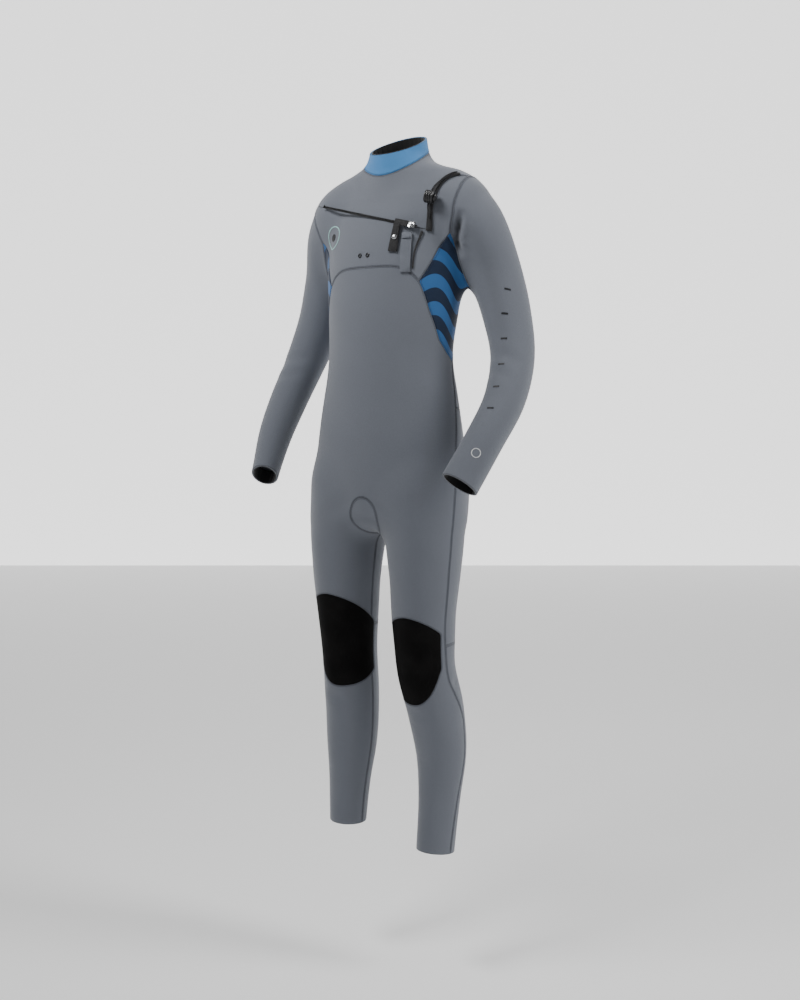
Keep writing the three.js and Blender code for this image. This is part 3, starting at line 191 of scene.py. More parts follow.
def unit(v):
    return v / np.maximum(np.linalg.norm(v, axis=-1, keepdims=True), 1e-12)


class Tube:
    """A sleeve, leg or neck: samples of its middle line, with the axes of its section."""

    def __init__(self, stations, mirror=1):
        s = np.array(stations, float)
        at = s[:, :3] * (mirror, 1, 1)
        steps = 5 * (len(s) - 1)
        place = np.linspace(0, len(s) - 1, steps + 1)
        i = np.minimum(place.astype(int), len(s) - 2)
        t = (place - i)[:, None]
        line = np.vstack([2 * at[0] - at[1], at, 2 * at[-1] - at[-2]])
        a, b, c, d = (line[i + k] for k in range(4))
        self.middle = cubic(a, b, c, d, t)
        slope = (c - a) + 2 * (2 * a - 5 * b + 4 * c - d) * t + 3 * (3 * b - a - 3 * c + d) * t * t
        self.along = unit(slope)
        self.wide, self.deep, turn = between(s[:, 3:], place).T
        side = unit(np.array([1.0, 0, 0]) - self.along * self.along[:, :1])
        fore = np.cross(self.along, side)
        turn = np.radians(turn * mirror)[:, None]
        self.across = side * np.cos(turn) + fore * np.sin(turn)
        self.other = np.cross(self.along, self.across)

    def place(self, p):
        """Where points lie: sample, and their place in section axes beside the section's sizes."""
        best = np.full(len(p), np.inf)
        index = np.zeros(len(p), int)
        share = np.zeros(len(p))
        last = len(self.middle) - 2
        for i in range(last + 1):
            step = self.middle[i + 1] - self.middle[i]
            t = (p - self.middle[i]) @ step / (step @ step)
            t = np.maximum(t, 0) if i == last else np.clip(t, 0, 1)
            away = p - self.middle[i] - t[:, None] * step
            far = np.einsum("ij,ij->i", away, away)
            closer = far < best
            best[closer], index[closer], share[closer] = far[closer], i, t[closer]
        r = np.minimum(share, 1)[:, None]
        mix = lambda v: v[index] * (1 - r) + v[index + 1] * r
        step = self.middle[index + 1] - self.middle[index]
        away = p - self.middle[index] - share[:, None] * step
        u, v, beyond = (np.einsum("ij,ij->i", away, mix(axis))
                        for axis in (self.across, self.other, self.along))
        r = r[:, 0]
        wide = self.wide[index] * (1 - r) + self.wide[index + 1] * r
        deep = self.deep[index] * (1 - r) + self.deep[index + 1] * r
        return index + share, u, v, beyond, wide, deep

    def distance(self, p):
        _, u, v, beyond, wide, deep = self.place(p)
        near = np.sqrt((u / wide) ** 2 + (v / deep) ** 2 + (beyond / deep) ** 2)
        slope = np.sqrt((u / wide ** 2) ** 2 + (v / deep ** 2) ** 2 + (beyond / deep ** 2) ** 2)
        return np.where(slope < 1e-9, -wide, near * (near - 1) / np.maximum(slope, 1e-9))


neck = Tube(NECK)
arms = {"left": Tube(ARM), "right": Tube(ARM, -1)}
legs = {"left": Tube(LEFT_LEG), "right": Tube(RIGHT_LEG)}
SIGN = {"left": 1, "right": -1}
KNEE_CLOTH = ("knee_pad", "leg_front", "calf", "seat")  # the panels that bend with a knee


def side_of(name):
    return "left" if name.startswith("left") else "right"


def bends_at_knee(name):
    return any(word in name for word in KNEE_CLOTH)


def body_distance(p):
    x, y, z = p.T
    d = torso_distance(x, y, z)
    near = z > -120
    d[near] = smooth_min(d[near], neck.distance(p[near]), 18)
    for side, arm in arms.items():
        near = (z > -620) & (x * SIGN[side] > 40)
        d[near] = smooth_min(d[near], arm.distance(p[near]), 34)
    near = z < -440
    both = smooth_min(legs["left"].distance(p[near]), legs["right"].distance(p[near]), 12)
    d[near] = smooth_min(d[near], both, 30)
    return d


CORNERS = np.array([(1, -1, -1), (-1, -1, 1), (-1, 1, -1), (1, 1, 1)], float)


def body_normal(p):
    return unit(sum(body_distance(p + c)[:, None] * c for c in CORNERS))


def settle(p, steps):
    for _ in range(steps):
        p = p - body_normal(p) * body_distance(p)[:, None]
    return p


def out_from(middle, direction, reach=200):
    """The points of rays from inside that lie on the body's face."""
    middle, direction = np.atleast_2d(middle).astype(float), np.atleast_2d(direction).astype(float)
    low = np.zeros(len(direction))
    high = np.full(len(direction), float(reach))
    for _ in range(30):
        t = (low + high) / 2
        inside = body_distance(middle + direction * t[:, None]) < 0
        low = np.where(inside, t, low)
        high = np.where(inside, high, t)
    return middle + direction * high[:, None]


def chest_points(x, z):
    x, z = np.atleast_1d(x).astype(float), np.atleast_1d(z).astype(float)
    middle = np.column_stack([x, np.zeros(len(x)), z])
    return out_from(middle, np.tile([0.0, -1, 0], (len(x), 1)))


# ---------------------------------------------------------------------------
# Meshes as arrays: points, their normals, and triangles
# ---------------------------------------------------------------------------
def cut(points, tris, value):
    """The mesh divided along value 0: triangles, their sides, and the new points' parents."""
    above = value > 0
    count = above[tris].sum(1)
    whole = (count == 0) | (count == 3)
    out = [tris[whole]]
    sides = [count[whole] == 3]
    mixed = tris[~whole]
    lone_above = count[~whole] == 1
    # Turn each mixed triangle so that its lone corner comes first.
    lone = np.argmax(above[mixed] == lone_above[:, None], axis=1)
    a, b, c = (np.take_along_axis(mixed, ((lone + k) % 3)[:, None], 1)[:, 0] for k in range(3))
    ends = np.sort(np.vstack([np.column_stack([a, b]), np.column_stack([a, c])]), axis=1)
    edges, which = np.unique(ends, axis=0, return_inverse=True)
    which = which.ravel()
    t = value[edges[:, 0]] / (value[edges[:, 0]] - value[edges[:, 1]])
    t = np.clip(t, 0.02, 0.98)
    new = len(points) + which
    ab, ac = new[:len(a)], new[len(a):]
    out += [np.column_stack([a, ab, ac]), np.column_stack([ab, b, c]), np.column_stack([ab, c, ac])]
    sides += [lone_above, ~lone_above, ~lone_above]
    return np.vstack(out), np.concatenate(sides), edges, t


class Cloth:
    """Part of the suit's face: columns of data for each point, and triangles."""

    def __init__(self, data, tris):
        used, which = np.unique(tris, return_inverse=True)
        self.data = data[used]
        self.tris = which.reshape(-1, 3)

    @property
    def points(self):
        return self.data[:, :3]

    def divided(self, value):
        tris, side, edges, t = cut(self.points, self.tris, value)
        t = t[:, None]
        new = self.data[edges[:, 0]] * (1 - t) + self.data[edges[:, 1]] * t
        return np.vstack([self.data, new]), tris, side

    def split(self, field, gap=SEAM_GAP):
        """The two sides of a seam: where the field is above the gap, and where it is below it."""
        value = field(self.points)
        parts = []
        for sign in (1, -1):
            data, tris, side = self.divided(sign * value - gap / 2)
            parts.append(Cloth(data, tris[side]))
        return parts

    def with_line(self, value):
        """The same cloth with a row of points along value 0."""
        data, tris, _ = self.divided(value)
        return Cloth(data, tris)

    def edges(self):
        """Edges that only one triangle has, in that triangle's own sense."""
        pairs = np.vstack([self.tris[:, [0, 1]], self.tris[:, [1, 2]], self.tris[:, [2, 0]]])
        key = pairs[:, 0] * (len(self.data) + 1) + pairs[:, 1]
        back = pairs[:, 1] * (len(self.data) + 1) + pairs[:, 0]
        return pairs[~np.isin(key, back)]

    def edge_distance(self):
        """How far each point is from the cloth's edge."""
        rim = self.edges()
        a, b = self.points[rim[:, 0]], self.points[rim[:, 1]]
        dense = np.vstack([a + (b - a) * s for s in np.linspace(0, 0.875, 8)])
        tree = KDTree(len(dense))
        for i, p in enumerate(dense):
            tree.insert(p, i)
        tree.balance()
        return np.array([tree.find(p)[2] for p in self.points])

    def contour(self, value):
        """The line where the value is 0, as points of data and edges between them."""
        tris, _, edges, t = cut(self.points, self.tris, value)
        new = self.data[edges[:, 0]] * (1 - t[:, None]) + self.data[edges[:, 1]] * t[:, None]
        first = len(self.data)
        made = (tris >= first).sum(1) == 2
        pairs = np.sort(tris[made], axis=1)[:, 1:] - first
        return new, np.unique(np.sort(pairs, axis=1), axis=0)


def vertex_normals(points, tris):
    a, b, c = (points[tris[:, k]] for k in range(3))
    face = np.cross(b - a, c - a)
    out = np.zeros_like(points)
    for k in range(3):
        np.add.at(out, tris[:, k], face)
    return unit(out)


# ---------------------------------------------------------------------------
# The suit's whole face: a rough body of tubes, remeshed evenly, laid on the body
# ---------------------------------------------------------------------------
def tube_mesh(rings):
    count = len(rings[0])
    points = [p for ring in rings for p in ring]
    faces = [(r * count + i, r * count + (i + 1) % count, (r + 1) * count + (i + 1) % count,
              (r + 1) * count + i) for r in range(len(rings) - 1) for i in range(count)]
    faces += [tuple(range(count))[::-1], tuple(range((len(rings) - 1) * count, len(rings) * count))]
    return points, faces


def rough_tubes():
    angle = np.linspace(0, 2 * math.pi, 32, endpoint=False)
    c, s = np.cos(angle)[:, None], np.sin(angle)[:, None]
    meshes = []
    for tube in (neck, *arms.values(), *legs.values()):
        rings = [tube.middle[i] + tube.across[i] * tube.wide[i] * c + tube.other[i] * tube.deep[i] * s
                 for i in range(len(tube.middle))]
        rings.append(rings[-1] + tube.along[-1] * 12)
        meshes.append(tube_mesh(rings))
    rings = []
    for z in np.arange(-632, 38, 12.0):
        wide, front, back, middle = torso_section(np.array([z]))[:, 0]
        y = middle - c * np.where(c > 0, front, back)
        rings.append(np.hstack([wide * s, y, np.full_like(y, z)]))
    meshes.append(tube_mesh(rings))
    return meshes


def new_object(name, points, faces, edges=()):
    mesh = bpy.data.meshes.new(name)
    mesh.from_pydata([tuple(p) for p in points], list(edges), [tuple(f) for f in faces])
    obj = bpy.data.objects.new(name, mesh)
    bpy.context.scene.collection.objects.link(obj)
    return obj


def evaluated_mesh(obj):
    """The object's mesh with its modifiers, as a plain mesh."""
    graph = bpy.context.evaluated_depsgraph_get()
    return bpy.data.meshes.new_from_object(obj.evaluated_get(graph), depsgraph=graph)


def whole_face():
    points, faces = [], []
    for more, joined in rough_tubes():
        faces += [tuple(i + len(points) for i in f) for f in joined]
        points += list(more)
    obj = new_object("rough_body", points, faces)
    recalculated = obj.modifiers.new("Even", "REMESH")
    recalculated.mode = "VOXEL"
    recalculated.voxel_size = CLOTH_GRAIN
    mesh = evaluated_mesh(obj)
    p = np.zeros(len(mesh.vertices) * 3)
    mesh.vertices.foreach_get("co", p)
    p = p.reshape(-1, 3)
    quads = np.array([tuple(f.vertices) for f in mesh.polygons if len(f.vertices) == 4])
    bpy.data.objects.remove(obj)
    a = np.concatenate([quads[:, k] for k in range(4)])
    b = np.concatenate([quads[:, (k + 1) % 4] for k in range(4)])
    p = settle(p, 4)
    for _ in range(4):
        total, count = np.zeros_like(p), np.zeros(len(p))
        for i, j in ((a, b), (b, a)):
            np.add.at(total, i, p[j])
            np.add.at(count, i, 1)
        p = settle(0.5 * p + 0.5 * total / count[:, None], 1)
    p = settle(p, 1)
    one = np.linalg.norm(p[quads[:, 0]] - p[quads[:, 2]], axis=1)
    two = np.linalg.norm(p[quads[:, 1]] - p[quads[:, 3]], axis=1)
    near, far = quads[one <= two], quads[one > two]
    tris = np.vstack([near[:, [0, 1, 2]], near[:, [0, 2, 3]], far[:, [0, 1, 3]], far[:, [1, 2, 3]]])
    normals = body_normal(p)
    if np.einsum("ij,ij->i", vertex_normals(p, tris), normals).mean() < 0:
        tris = tris[:, ::-1]
    return Cloth(np.hstack([p, normals]), tris)


RIMS = {
    "collar": ((0, -4.16, 30.93), (0, -0.4226, 0.9063), 80),
    "left_cuff": (arms["left"].middle[-1], arms["left"].along[-1], 60),
    "right_cuff": (arms["right"].middle[-1], arms["right"].along[-1], 60),
    "left_ankle": (legs["left"].middle[-1], legs["left"].along[-1], 60),
    "right_ankle": (legs["right"].middle[-1], legs["right"].along[-1], 60),
}


def inside_rims(p):
    value = np.full(len(p), 50.0)
    for at, out, reach in RIMS.values():
        away = p - np.array(at)
        near = np.linalg.norm(away, axis=1) < reach
        value[near] = np.minimum(value[near], -(away[near] @ np.array(out)))
    return value


# ---------------------------------------------------------------------------
# Where the seams run: each field is above zero inside its panel, in millimetres
# ---------------------------------------------------------------------------
def collar_field(p):
    x, y, z = p.T
    behind = y - 2
    far = np.maximum(np.hypot(x, behind), 1)
    return (z - behind * NECK_TILT - SIDE_RISE * x * x / (far * 55)) * 0.9


def zip_z(x):
    return -99 - 0.25 * x


BACK_YOKE = ((0, 80, 150), (-92, -84, -70))


def yoke_field(p):
    x, y, z = p.T
    low = np.where(y < 0, z - zip_z(x), z - np.interp(np.abs(x), *BACK_YOKE))
    return np.minimum(low, 113 - 0.73 * x + 0.68 * y)


ARMHOLE = {
    "left": ((-620, -350, -250, -195, -160, -130, -105, -60, -30),
             (163, 163, 141, 139, 136, 131, 138, 145, 146)),
    "right": ((-620, -350, -250, -195, -160, -130, -104, -75, -30),
              (163, 163, 141, 139, 136, 133, 143, 156, 158)),
}


def sleeve_field(side):
    def field(p):
        out = p[:, 0] * SIGN[side] - np.interp(p[:, 2], *ARMHOLE[side])
        return np.where(p[:, 2] < -620, -50, out)
    return field


def chest_field(p):
    return p[:, 2] + 181 + 26 * np.minimum(1.6, np.abs(p[:, 0]) / 90) ** 5


SIDE_OUTLINE = np.array([(-44, -120), (-46, -140), (-75, -207), (-65, -254), (-49, -302), (-33, -322),
                         (-15, -336), (6, -322), (25, -302), (42, -254), (56, -207), (34, -150),
                         (30, -120)], float)


def inside_outline(outline, x, y):
    far = np.full(len(x), np.inf)
    inside = np.zeros(len(x), bool)
    for a, b in zip(outline, np.roll(outline, -1, axis=0)):
        step = b - a
        t = np.clip(((x - a[0]) * step[0] + (y - a[1]) * step[1]) / (step @ step), 0, 1)
        far = np.minimum(far, np.hypot(x - a[0] - step[0] * t, y - a[1] - step[1] * t))
        if step[1]:
            inside ^= ((a[1] > y) != (b[1] > y)) & (x < a[0] + (y - a[1]) / step[1] * step[0])
    return np.where(inside, far, -far)


def side_field(side):
    def field(p):
        return np.minimum(inside_outline(SIDE_OUTLINE, p[:, 1], p[:, 2]), p[:, 0] * SIGN[side] - 60)
    return field


FLANK = ((-531, -466, -400, -335, -200, 0), (-52, -37, -24, -15, -8, -8))
LEG_FRONT = ((-1160, -1100, -1010, -945, -870, -790, -600), (0.1, 0, -0.2, -0.25, 0.15, 0.24, 0.25))


def smoothstep(v, low, high):
    t = np.clip((v - low) / (high - low), 0, 1)
    return t * t * (3 - 2 * t)


def leg_place(p):
    """Place on the nearer leg, with u turned outwards."""
    left, right = (np.array(legs[s].place(p)) for s in ("left", "right"))
    at = np.where(p[:, 0] > 0, left, right)
    at[1] *= np.sign(p[:, 0])
    return at


def front_field(p):
    _, y, z = p.T
    _, u, v, _, wide, deep = leg_place(p)
    out = np.clip(0.5 + 0.5 * u / wide, 0, 1)
    on_leg = v - deep * (0.05 + (np.interp(z, *LEG_FRONT) - 0.05) * out)
    on_body = np.interp(z, *FLANK) - y
    share = smoothstep(z, -560, -505)
    return on_leg * (1 - share) + on_body * share


def gusset_field(p):
    return 27 * (1 - np.hypot((p[:, 0] - 5) / 27, (p[:, 2] + 597) / 35))


PAD = {"left": (-760, -912), "right": (-736, -899)}
PAD_LEAN = 8
PAD_OUT = 74
PAD_IN = 89


def pad_field(side):
    def field(p):
        z = p[:, 2]
        _, u, v, _, wide, _ = leg_place(p)
        angle = np.degrees(np.arctan2(u, v))
        turned = angle + PAD_LEAN
        reach = np.where(turned > 0, PAD_OUT, PAD_IN)
        top, foot = PAD[side]
        share = np.minimum(1.4, np.abs(turned) / reach)
        low = z - (foot + np.where(turned > 0, 66, 26) * share ** 2.2)
        high = top - 26 * np.minimum(1.6, np.abs(angle) / 65) ** 1.7 - z
        edge = (reach - np.abs(turned)) * wide * math.pi / 180
        inside = np.minimum(np.minimum(low * 0.85, high), edge)
        return np.where(p[:, 0] * SIGN[side] > 0, inside, -50)
    return field


KNEE = {"left": (8, -815, -90, -922), "right": (16, -800, -86, -909)}


def knee_field(side):
    level = KNEE[side][1] + 7
    return lambda p: level - p[:, 2]


def waist_field(p):
    return p[:, 2] + 402 + 0.1 * np.abs(p[:, 0])


THIGH_CUT = -700  # where the front panel passes into the cloth that bends with the knees


def cut_panels(face):
    """Every panel of the suit, cut from its whole face."""
    panels = {}
    rest = face

    def take(name, field):
        nonlocal rest
        panels[name], rest = rest.split(field)

    take("collar", collar_field)
    for side in ("left", "right"):
        take(side + "_sleeve", sleeve_field(side))
    take("crotch_gusset", gusset_field)
    for side in ("left", "right"):
        take(side + "_side_panel", side_field(side))
    for side in ("left", "right"):
        take(side + "_knee_pad", pad_field(side))
    take("neck_yoke", yoke_field)
    front, back = rest.split(front_field)
    panels["chest_panel"], panels["front_panel"] = front.split(chest_field)
    panels["back_panel"], low = back.split(waist_field)
    seats = low.split(lambda p: p[:, 0])
    for side, seat in zip(("left", "right"), seats):
        calf, panels[side + "_seat_panel"] = seat.split(knee_field(side))
        panels[side + "_calf_panel"] = calf
    return panels


# ---------------------------------------------------------------------------
# Folds: where the cloth gives, as dips along short lines
# ---------------------------------------------------------------------------
# Each fold runs from one point to another: half width and depth in millimetres.
FOLDS = [
    # where the left sleeve doubles over in front of the armpit, and its fellow on the right
    ((150, -45, -104), (137, -40, -141), 6.5, 9.0), ((137, -40, -141), (141, -34, -160), 6.5, 8.0),
    ((-113, -54, -118), (-105, -59, -146), 8, 1.2), ((-105, -59, -146), (-92, -70, -170), 8, 0.8),
    # inside the elbows
    ((196, -18, -322), (242, -22, -338), 9, 2.2), ((200, -34, -352), (240, -40, -366), 8, 1.5),
    ((-196, -18, -322), (-242, -22, -338), 9, 2.2), ((-200, -34, -352), (-240, -40, -366), 8, 1.5),
    # under the knee pads
    ((52, -84, -930), (112, -78, -934), 9, 2.6), ((-112, -86, -918), (-58, -84, -922), 9, 2.4),
    ((112, -40, -866), (138, -20, -880), 8, 2.0),
    # behind the knees
    ((52, 6, -806), (118, 6, -812), 9, 2.6), ((56, 6, -838), (114, 8, -846), 8, 1.8),
    ((-116, 10, -796), (-54, 10, -802), 9, 2.0),
    # small of the back, and where the legs leave the trunk
    ((-60, 42, -322), (60, 42, -326), 16, 2.4), ((-40, 44, -358), (48, 43, -362), 14, 1.6),
    ((20, -112, -566), (74, -110, -592), 12, 1.6), ((-74, -110, -592), (-20, -112, -566), 12, 1.6),
    # low at the calves
    ((70, 30, -1100), (112, 20, -1104), 8, 1.2), ((-108, 4, -1082), (-70, 6, -1086), 8, 1.2),
]


def fold_depth(p):
    depth = np.zeros(len(p))
    for start, end, half, deep in FOLDS:
        a, b = np.array(start, float), np.array(end, float)
        step = b - a
        t = np.clip((p - a) @ step / (step @ step), 0, 1)
        away = p - a - t[:, None] * step
        far = np.linalg.norm(away, axis=1)
        ends = np.sin(math.pi * (0.12 + 0.76 * t))
        depth += deep * ends * (np.exp(-(far / half) ** 2) - 0.28 * np.exp(-((far - 2 * half) / half) ** 2))
    return depth


def soft_swell(p):
    """The slow, slight unevenness of foam cloth that is worn, not moulded."""
    x, y, z = (p / 34).T
    slow = np.sin(1.3 * x + 0.7 * z) * np.sin(0.9 * y - 1.1 * z + 0.6) + 0.5 * np.sin(2.1 * z + 1.7 * x - y)
    return 0.32 * slow


# ---------------------------------------------------------------------------
# Materials
# ---------------------------------------------------------------------------
def material(name, roughness, metallic=0.0, sheen=0.0, coat=0.0, specular=0.5):
    m = bpy.data.materials.new(name)
    m.use_nodes = True
    shader = m.node_tree.nodes["Principled BSDF"]
    shader.inputs["Roughness"].default_value = roughness
    shader.inputs["Metallic"].default_value = metallic
    shader.inputs["Specular IOR Level"].default_value = specular
    shader.inputs["Sheen Weight"].default_value = sheen
    shader.inputs["Sheen Roughness"].default_value = 0.45
    shader.inputs["Coat Weight"].default_value = coat
    return m


class Nodes:
    """Short names for adding and joining a material's nodes."""

    def __init__(self, m):
        self.tree = m.node_tree
        self.shader = m.node_tree.nodes["Principled BSDF"]

    def add(self, kind, **settings):
        node = self.tree.nodes.new("ShaderNode" + kind)
        for name, value in settings.items():
            if hasattr(node, name):
                setattr(node, name, value)
            else:
                node.inputs[name.replace("_", " ")].default_value = value
        return node

    def join(self, out, into):
        self.tree.links.new(out, into)

    def place(self, scale=(1, 1, 1), turn=(0, 0, 0), cloth=False):
        """Coordinates in metres: the cloth's own map, or the object's."""
        if cloth:
            source = self.add("UVMap", uv_map="cloth").outputs["UV"]
        else:
            source = self.add("TexCoord").outputs["Object"]
        node = self.add("Mapping")
        node.inputs["Scale"].default_value = scale
        node.inputs["Rotation"].default_value = turn
        self.join(source, node.inputs["Vector"])
        return node.outputs["Vector"]

    def noise(self, scale, detail=3.0, vector=None, roughness=0.5):
        node = self.add("TexNoise")
        node.inputs["Scale"].default_value = scale
        node.inputs["Detail"].default_value = detail
        node.inputs["Roughness"].default_value = roughness
        self.join(vector or self.place(), node.inputs["Vector"])
        return node.outputs["Fac"]

    def wave(self, scale, vector, distortion=0.0, direction="X"):
        node = self.add("TexWave", wave_type="BANDS", bands_direction=direction)
        node.inputs["Scale"].default_value = scale
        node.inputs["Distortion"].default_value = distortion
        node.inputs["Detail"].default_value = 0.0
        self.join(vector, node.inputs["Vector"])
        return node.outputs["Fac"]

    def maths(self, kind, a, b):
        node = self.add("Math", operation=kind)
        for value, socket in ((a, node.inputs[0]), (b, node.inputs[1])):
            if isinstance(value, (int, float)):
                socket.default_value = value
            else:
                self.join(value, socket)
        return node.outputs["Value"]

    def ramp(self, value, stops):
        node = self.add("ValToRGB")
        node.color_ramp.interpolation = "EASE"
        while len(node.color_ramp.elements) < len(stops):
            node.color_ramp.elements.new(0.5)
        for element, (at, colour) in zip(node.color_ramp.elements, stops):
            element.position = at
            element.color = (*colour, 1)
        self.join(value, node.inputs["Fac"])
        return node.outputs["Color"]

    def mix(self, share, a, b):
        node = self.add("Mix", data_type="RGBA")
        factor, first, second = node.inputs[0], node.inputs[6], node.inputs[7]
        for value, socket in ((share, factor), (a, first), (b, second)):
            if isinstance(value, (int, float)):
                socket.default_value = value
            elif isinstance(value, tuple):
                socket.default_value = (*value, 1)
            else:
                self.join(value, socket)
        return node.outputs[2]

    def bump(self, height, strength, distance, under=None):
        node = self.add("Bump")
        node.inputs["Strength"].default_value = strength
        node.inputs["Distance"].default_value = distance
        self.join(height, node.inputs["Height"])
        if under:
            self.join(under, node.inputs["Normal"])
        return node.outputs["Normal"]

    def finish(self, colour, roughness=None, normal=None):
        self.join(colour, self.shader.inputs["Base Color"])
        if roughness is not None:
            self.join(roughness, self.shader.inputs["Roughness"])
        if normal is not None:
            self.join(normal, self.shader.inputs["Normal"])


def shade(colour, by):
    return tuple(c * by for c in colour)


def knit(n):
    """The fine ribs and rows of a knitted jersey, as a height."""
    cloth = n.place(cloth=True)
    ribs = n.wave(330, cloth, distortion=0.6, direction="X")
    rows = n.wave(430, cloth, distortion=0.8, direction="Y")
    return n.maths("MULTIPLY", ribs, n.maths("ADD", rows, 0.35))


def jersey(name, colour, heather=0.10):
    """Knitted nylon over foam: ribbed, matt, with a slight heather and paler where it is rubbed, and painted
    shade in deep folds and along the rolled edges at the seams.
    """
    m = material(name, 0.78, sheen=0.28, specular=0.22)
    n = Nodes(m)
    weave = knit(n)
    fleck = n.noise(1500, detail=2)
    cloud = n.noise(9, detail=3)
    base = n.ramp(fleck, [(0.32, shade(colour, 1 - heather)), (0.68, shade(colour, 1 + heather))])
    base = n.mix(n.maths("MULTIPLY", weave, 0.16), base, shade(colour, 1.35))
    base = n.mix(n.maths("MULTIPLY", cloud, 0.14), base, shade(colour, 0.72))
    # Painted shade: the cloth is darkened towards a tenth of its colour in deep folds, such as the armpit,
    # and along the rolled edges where panels meet.
    painted_shade = n.add("Attribute", attribute_name="painted_shade", attribute_type="GEOMETRY")
    base = n.mix(n.maths("MULTIPLY", painted_shade.outputs["Fac"], 0.86), base, shade(colour, 0.10))
    dull = n.maths("ADD", n.maths("MULTIPLY", fleck, 0.16), 0.68)
    lumps = n.bump(n.noise(260, detail=2), 0.25, 0.0004)
    n.finish(base, dull, n.bump(weave, 0.42, 0.00022, lumps))
    return m


def wave_print():
    """Two blues printed in deep rolling waves across the flank."""
    m = material("wave_print", 0.74, sheen=0.25, specular=0.22)
    n = Nodes(m)
    place = n.place()
    parts = n.add("SeparateXYZ")
    n.join(place, parts.inputs["Vector"])
    y, z = parts.outputs["Y"], parts.outputs["Z"]
    swing = n.maths("COSINE", n.maths("ADD", n.maths("MULTIPLY", y, 65.4), 3.793), 0)
    reach = n.maths("ADD", n.maths("MULTIPLY", z, 0.03), 0.028)
    height = n.maths("SUBTRACT", z, n.maths("MULTIPLY", swing, reach))
    height = n.maths("ADD", height, n.maths("MULTIPLY", n.noise(9, detail=1), 0.004))
    bands = n.maths("SINE", n.maths("MULTIPLY", height, -2 * math.pi / 0.043), 0)
    edge = n.maths("ADD", n.maths("MULTIPLY", bands, 9.0), 0.5)
    clear = n.add("Clamp")
    n.join(edge, clear.inputs["Value"])
    navy, blue = (0.006, 0.015, 0.040), (0.028, 0.125, 0.330)
    colour = n.mix(clear.outputs["Result"], navy, blue)
    weave = knit(n)
    colour = n.mix(n.maths("MULTIPLY", weave, 0.08), colour, (0.07, 0.16, 0.32))
    n.finish(colour, n.maths("ADD", n.maths("MULTIPLY", n.noise(900), 0.14), 0.66),
             n.bump(weave, 0.40, 0.00022))
    return m


def knee_rubber():
    """Coated rubber, near black, pebbled and faintly glossy where it is rubbed."""
    m = material("knee_rubber", 0.8, specular=0.10)
    n = Nodes(m)
    pebbles = n.add("TexVoronoi", feature="SMOOTH_F1")
    pebbles.inputs["Scale"].default_value = 620
    n.join(n.place(), pebbles.inputs["Vector"])
    worn = n.noise(26, detail=4)
    colour = n.ramp(worn, [(0.3, (0.0024, 0.0022, 0.0024)), (0.75, (0.0046, 0.0042, 0.0043))])
    gloss = n.maths("SUBTRACT", 0.88, n.maths("MULTIPLY", worn, 0.18))
    n.finish(colour, gloss, n.bump(pebbles.outputs["Distance"], 0.45, 0.0003))
    return m


def webbing(name, colour):
    """Woven tape: ribs across it, with a slight shine on the raised threads."""
    m = material(name, 0.6, sheen=0.15, specular=0.35)
    n = Nodes(m)
    place = n.place()
    warp = n.wave(420, place, direction="Z", distortion=0.5)
    weft = n.wave(360, place, direction="X", distortion=0.5)
    weave = n.maths("MULTIPLY", warp, n.maths("ADD", weft, 0.3))
    base = n.mix(weave, shade(colour, 0.55), shade(colour, 1.9))
    base = n.mix(n.maths("MULTIPLY", n.noise(120, detail=3), 0.3), base, shade(colour, 2.6))
    n.finish(base, n.maths("SUBTRACT", 0.72, n.maths("MULTIPLY", weave, 0.2)), n.bump(weave, 0.5, 0.0003))
    return m


def thread(name, colour):
    """Twisted polyester thread."""
    m = material(name, 0.55, sheen=0.2, specular=0.35)
    n = Nodes(m)
    twist = n.wave(900, n.place(turn=(0.6, 0.5, 0.4)), direction="DIAGONAL")
    base = n.mix(twist, shade(colour, 0.6), shade(colour, 1.5))
    n.finish(base, n.maths("ADD", n.maths("MULTIPLY", n.noise(300), 0.2), 0.45), n.bump(twist, 0.3, 0.0001))
    return m


def plastic(name, colour):
    """Moulded acetal: fine grain, with paler scuffs."""
    m = material(name, 0.34, specular=0.5, coat=0.06)
    n = Nodes(m)
    scuff = n.noise(340, detail=5, roughness=0.65)
    base = n.ramp(scuff, [(0.45, colour), (0.78, shade(colour, 2.6))])
    n.finish(base, n.ramp(scuff, [(0.3, (0.26,) * 3), (0.8, (0.5,) * 3)]),
             n.bump(n.noise(1400, detail=2), 0.2, 0.0001))
    return m


def steel():
    """Plated metal with fine brushing and a few dull marks."""
    m = material("steel", 0.2, metallic=1.0)
    n = Nodes(m)
    brushed = n.noise(60, detail=4, vector=n.place(scale=(1, 1, 26)))
    marks = n.noise(420, detail=3)
    base = n.ramp(marks, [(0.4, (0.62, 0.63, 0.65)), (0.8, (0.42, 0.43, 0.45))])
    n.finish(base, n.ramp(brushed, [(0.3, (0.12,) * 3), (0.7, (0.34,) * 3)]), n.bump(brushed, 0.12, 0.0001))
    return m


def print_ink(name, colour):
    """Rubbery transfer print, faintly cracked."""
    m = material(name, 0.5, specular=0.35)
    n = Nodes(m)
    cracks = n.noise(700, detail=4, roughness=0.7)
    base = n.ramp(cracks, [(0.35, shade(colour, 0.72)), (0.55, colour)])
    n.finish(base, n.ramp(cracks, [(0.3, (0.62,) * 3), (0.7, (0.42,) * 3)]), n.bump(cracks, 0.25, 0.00012))
    return m


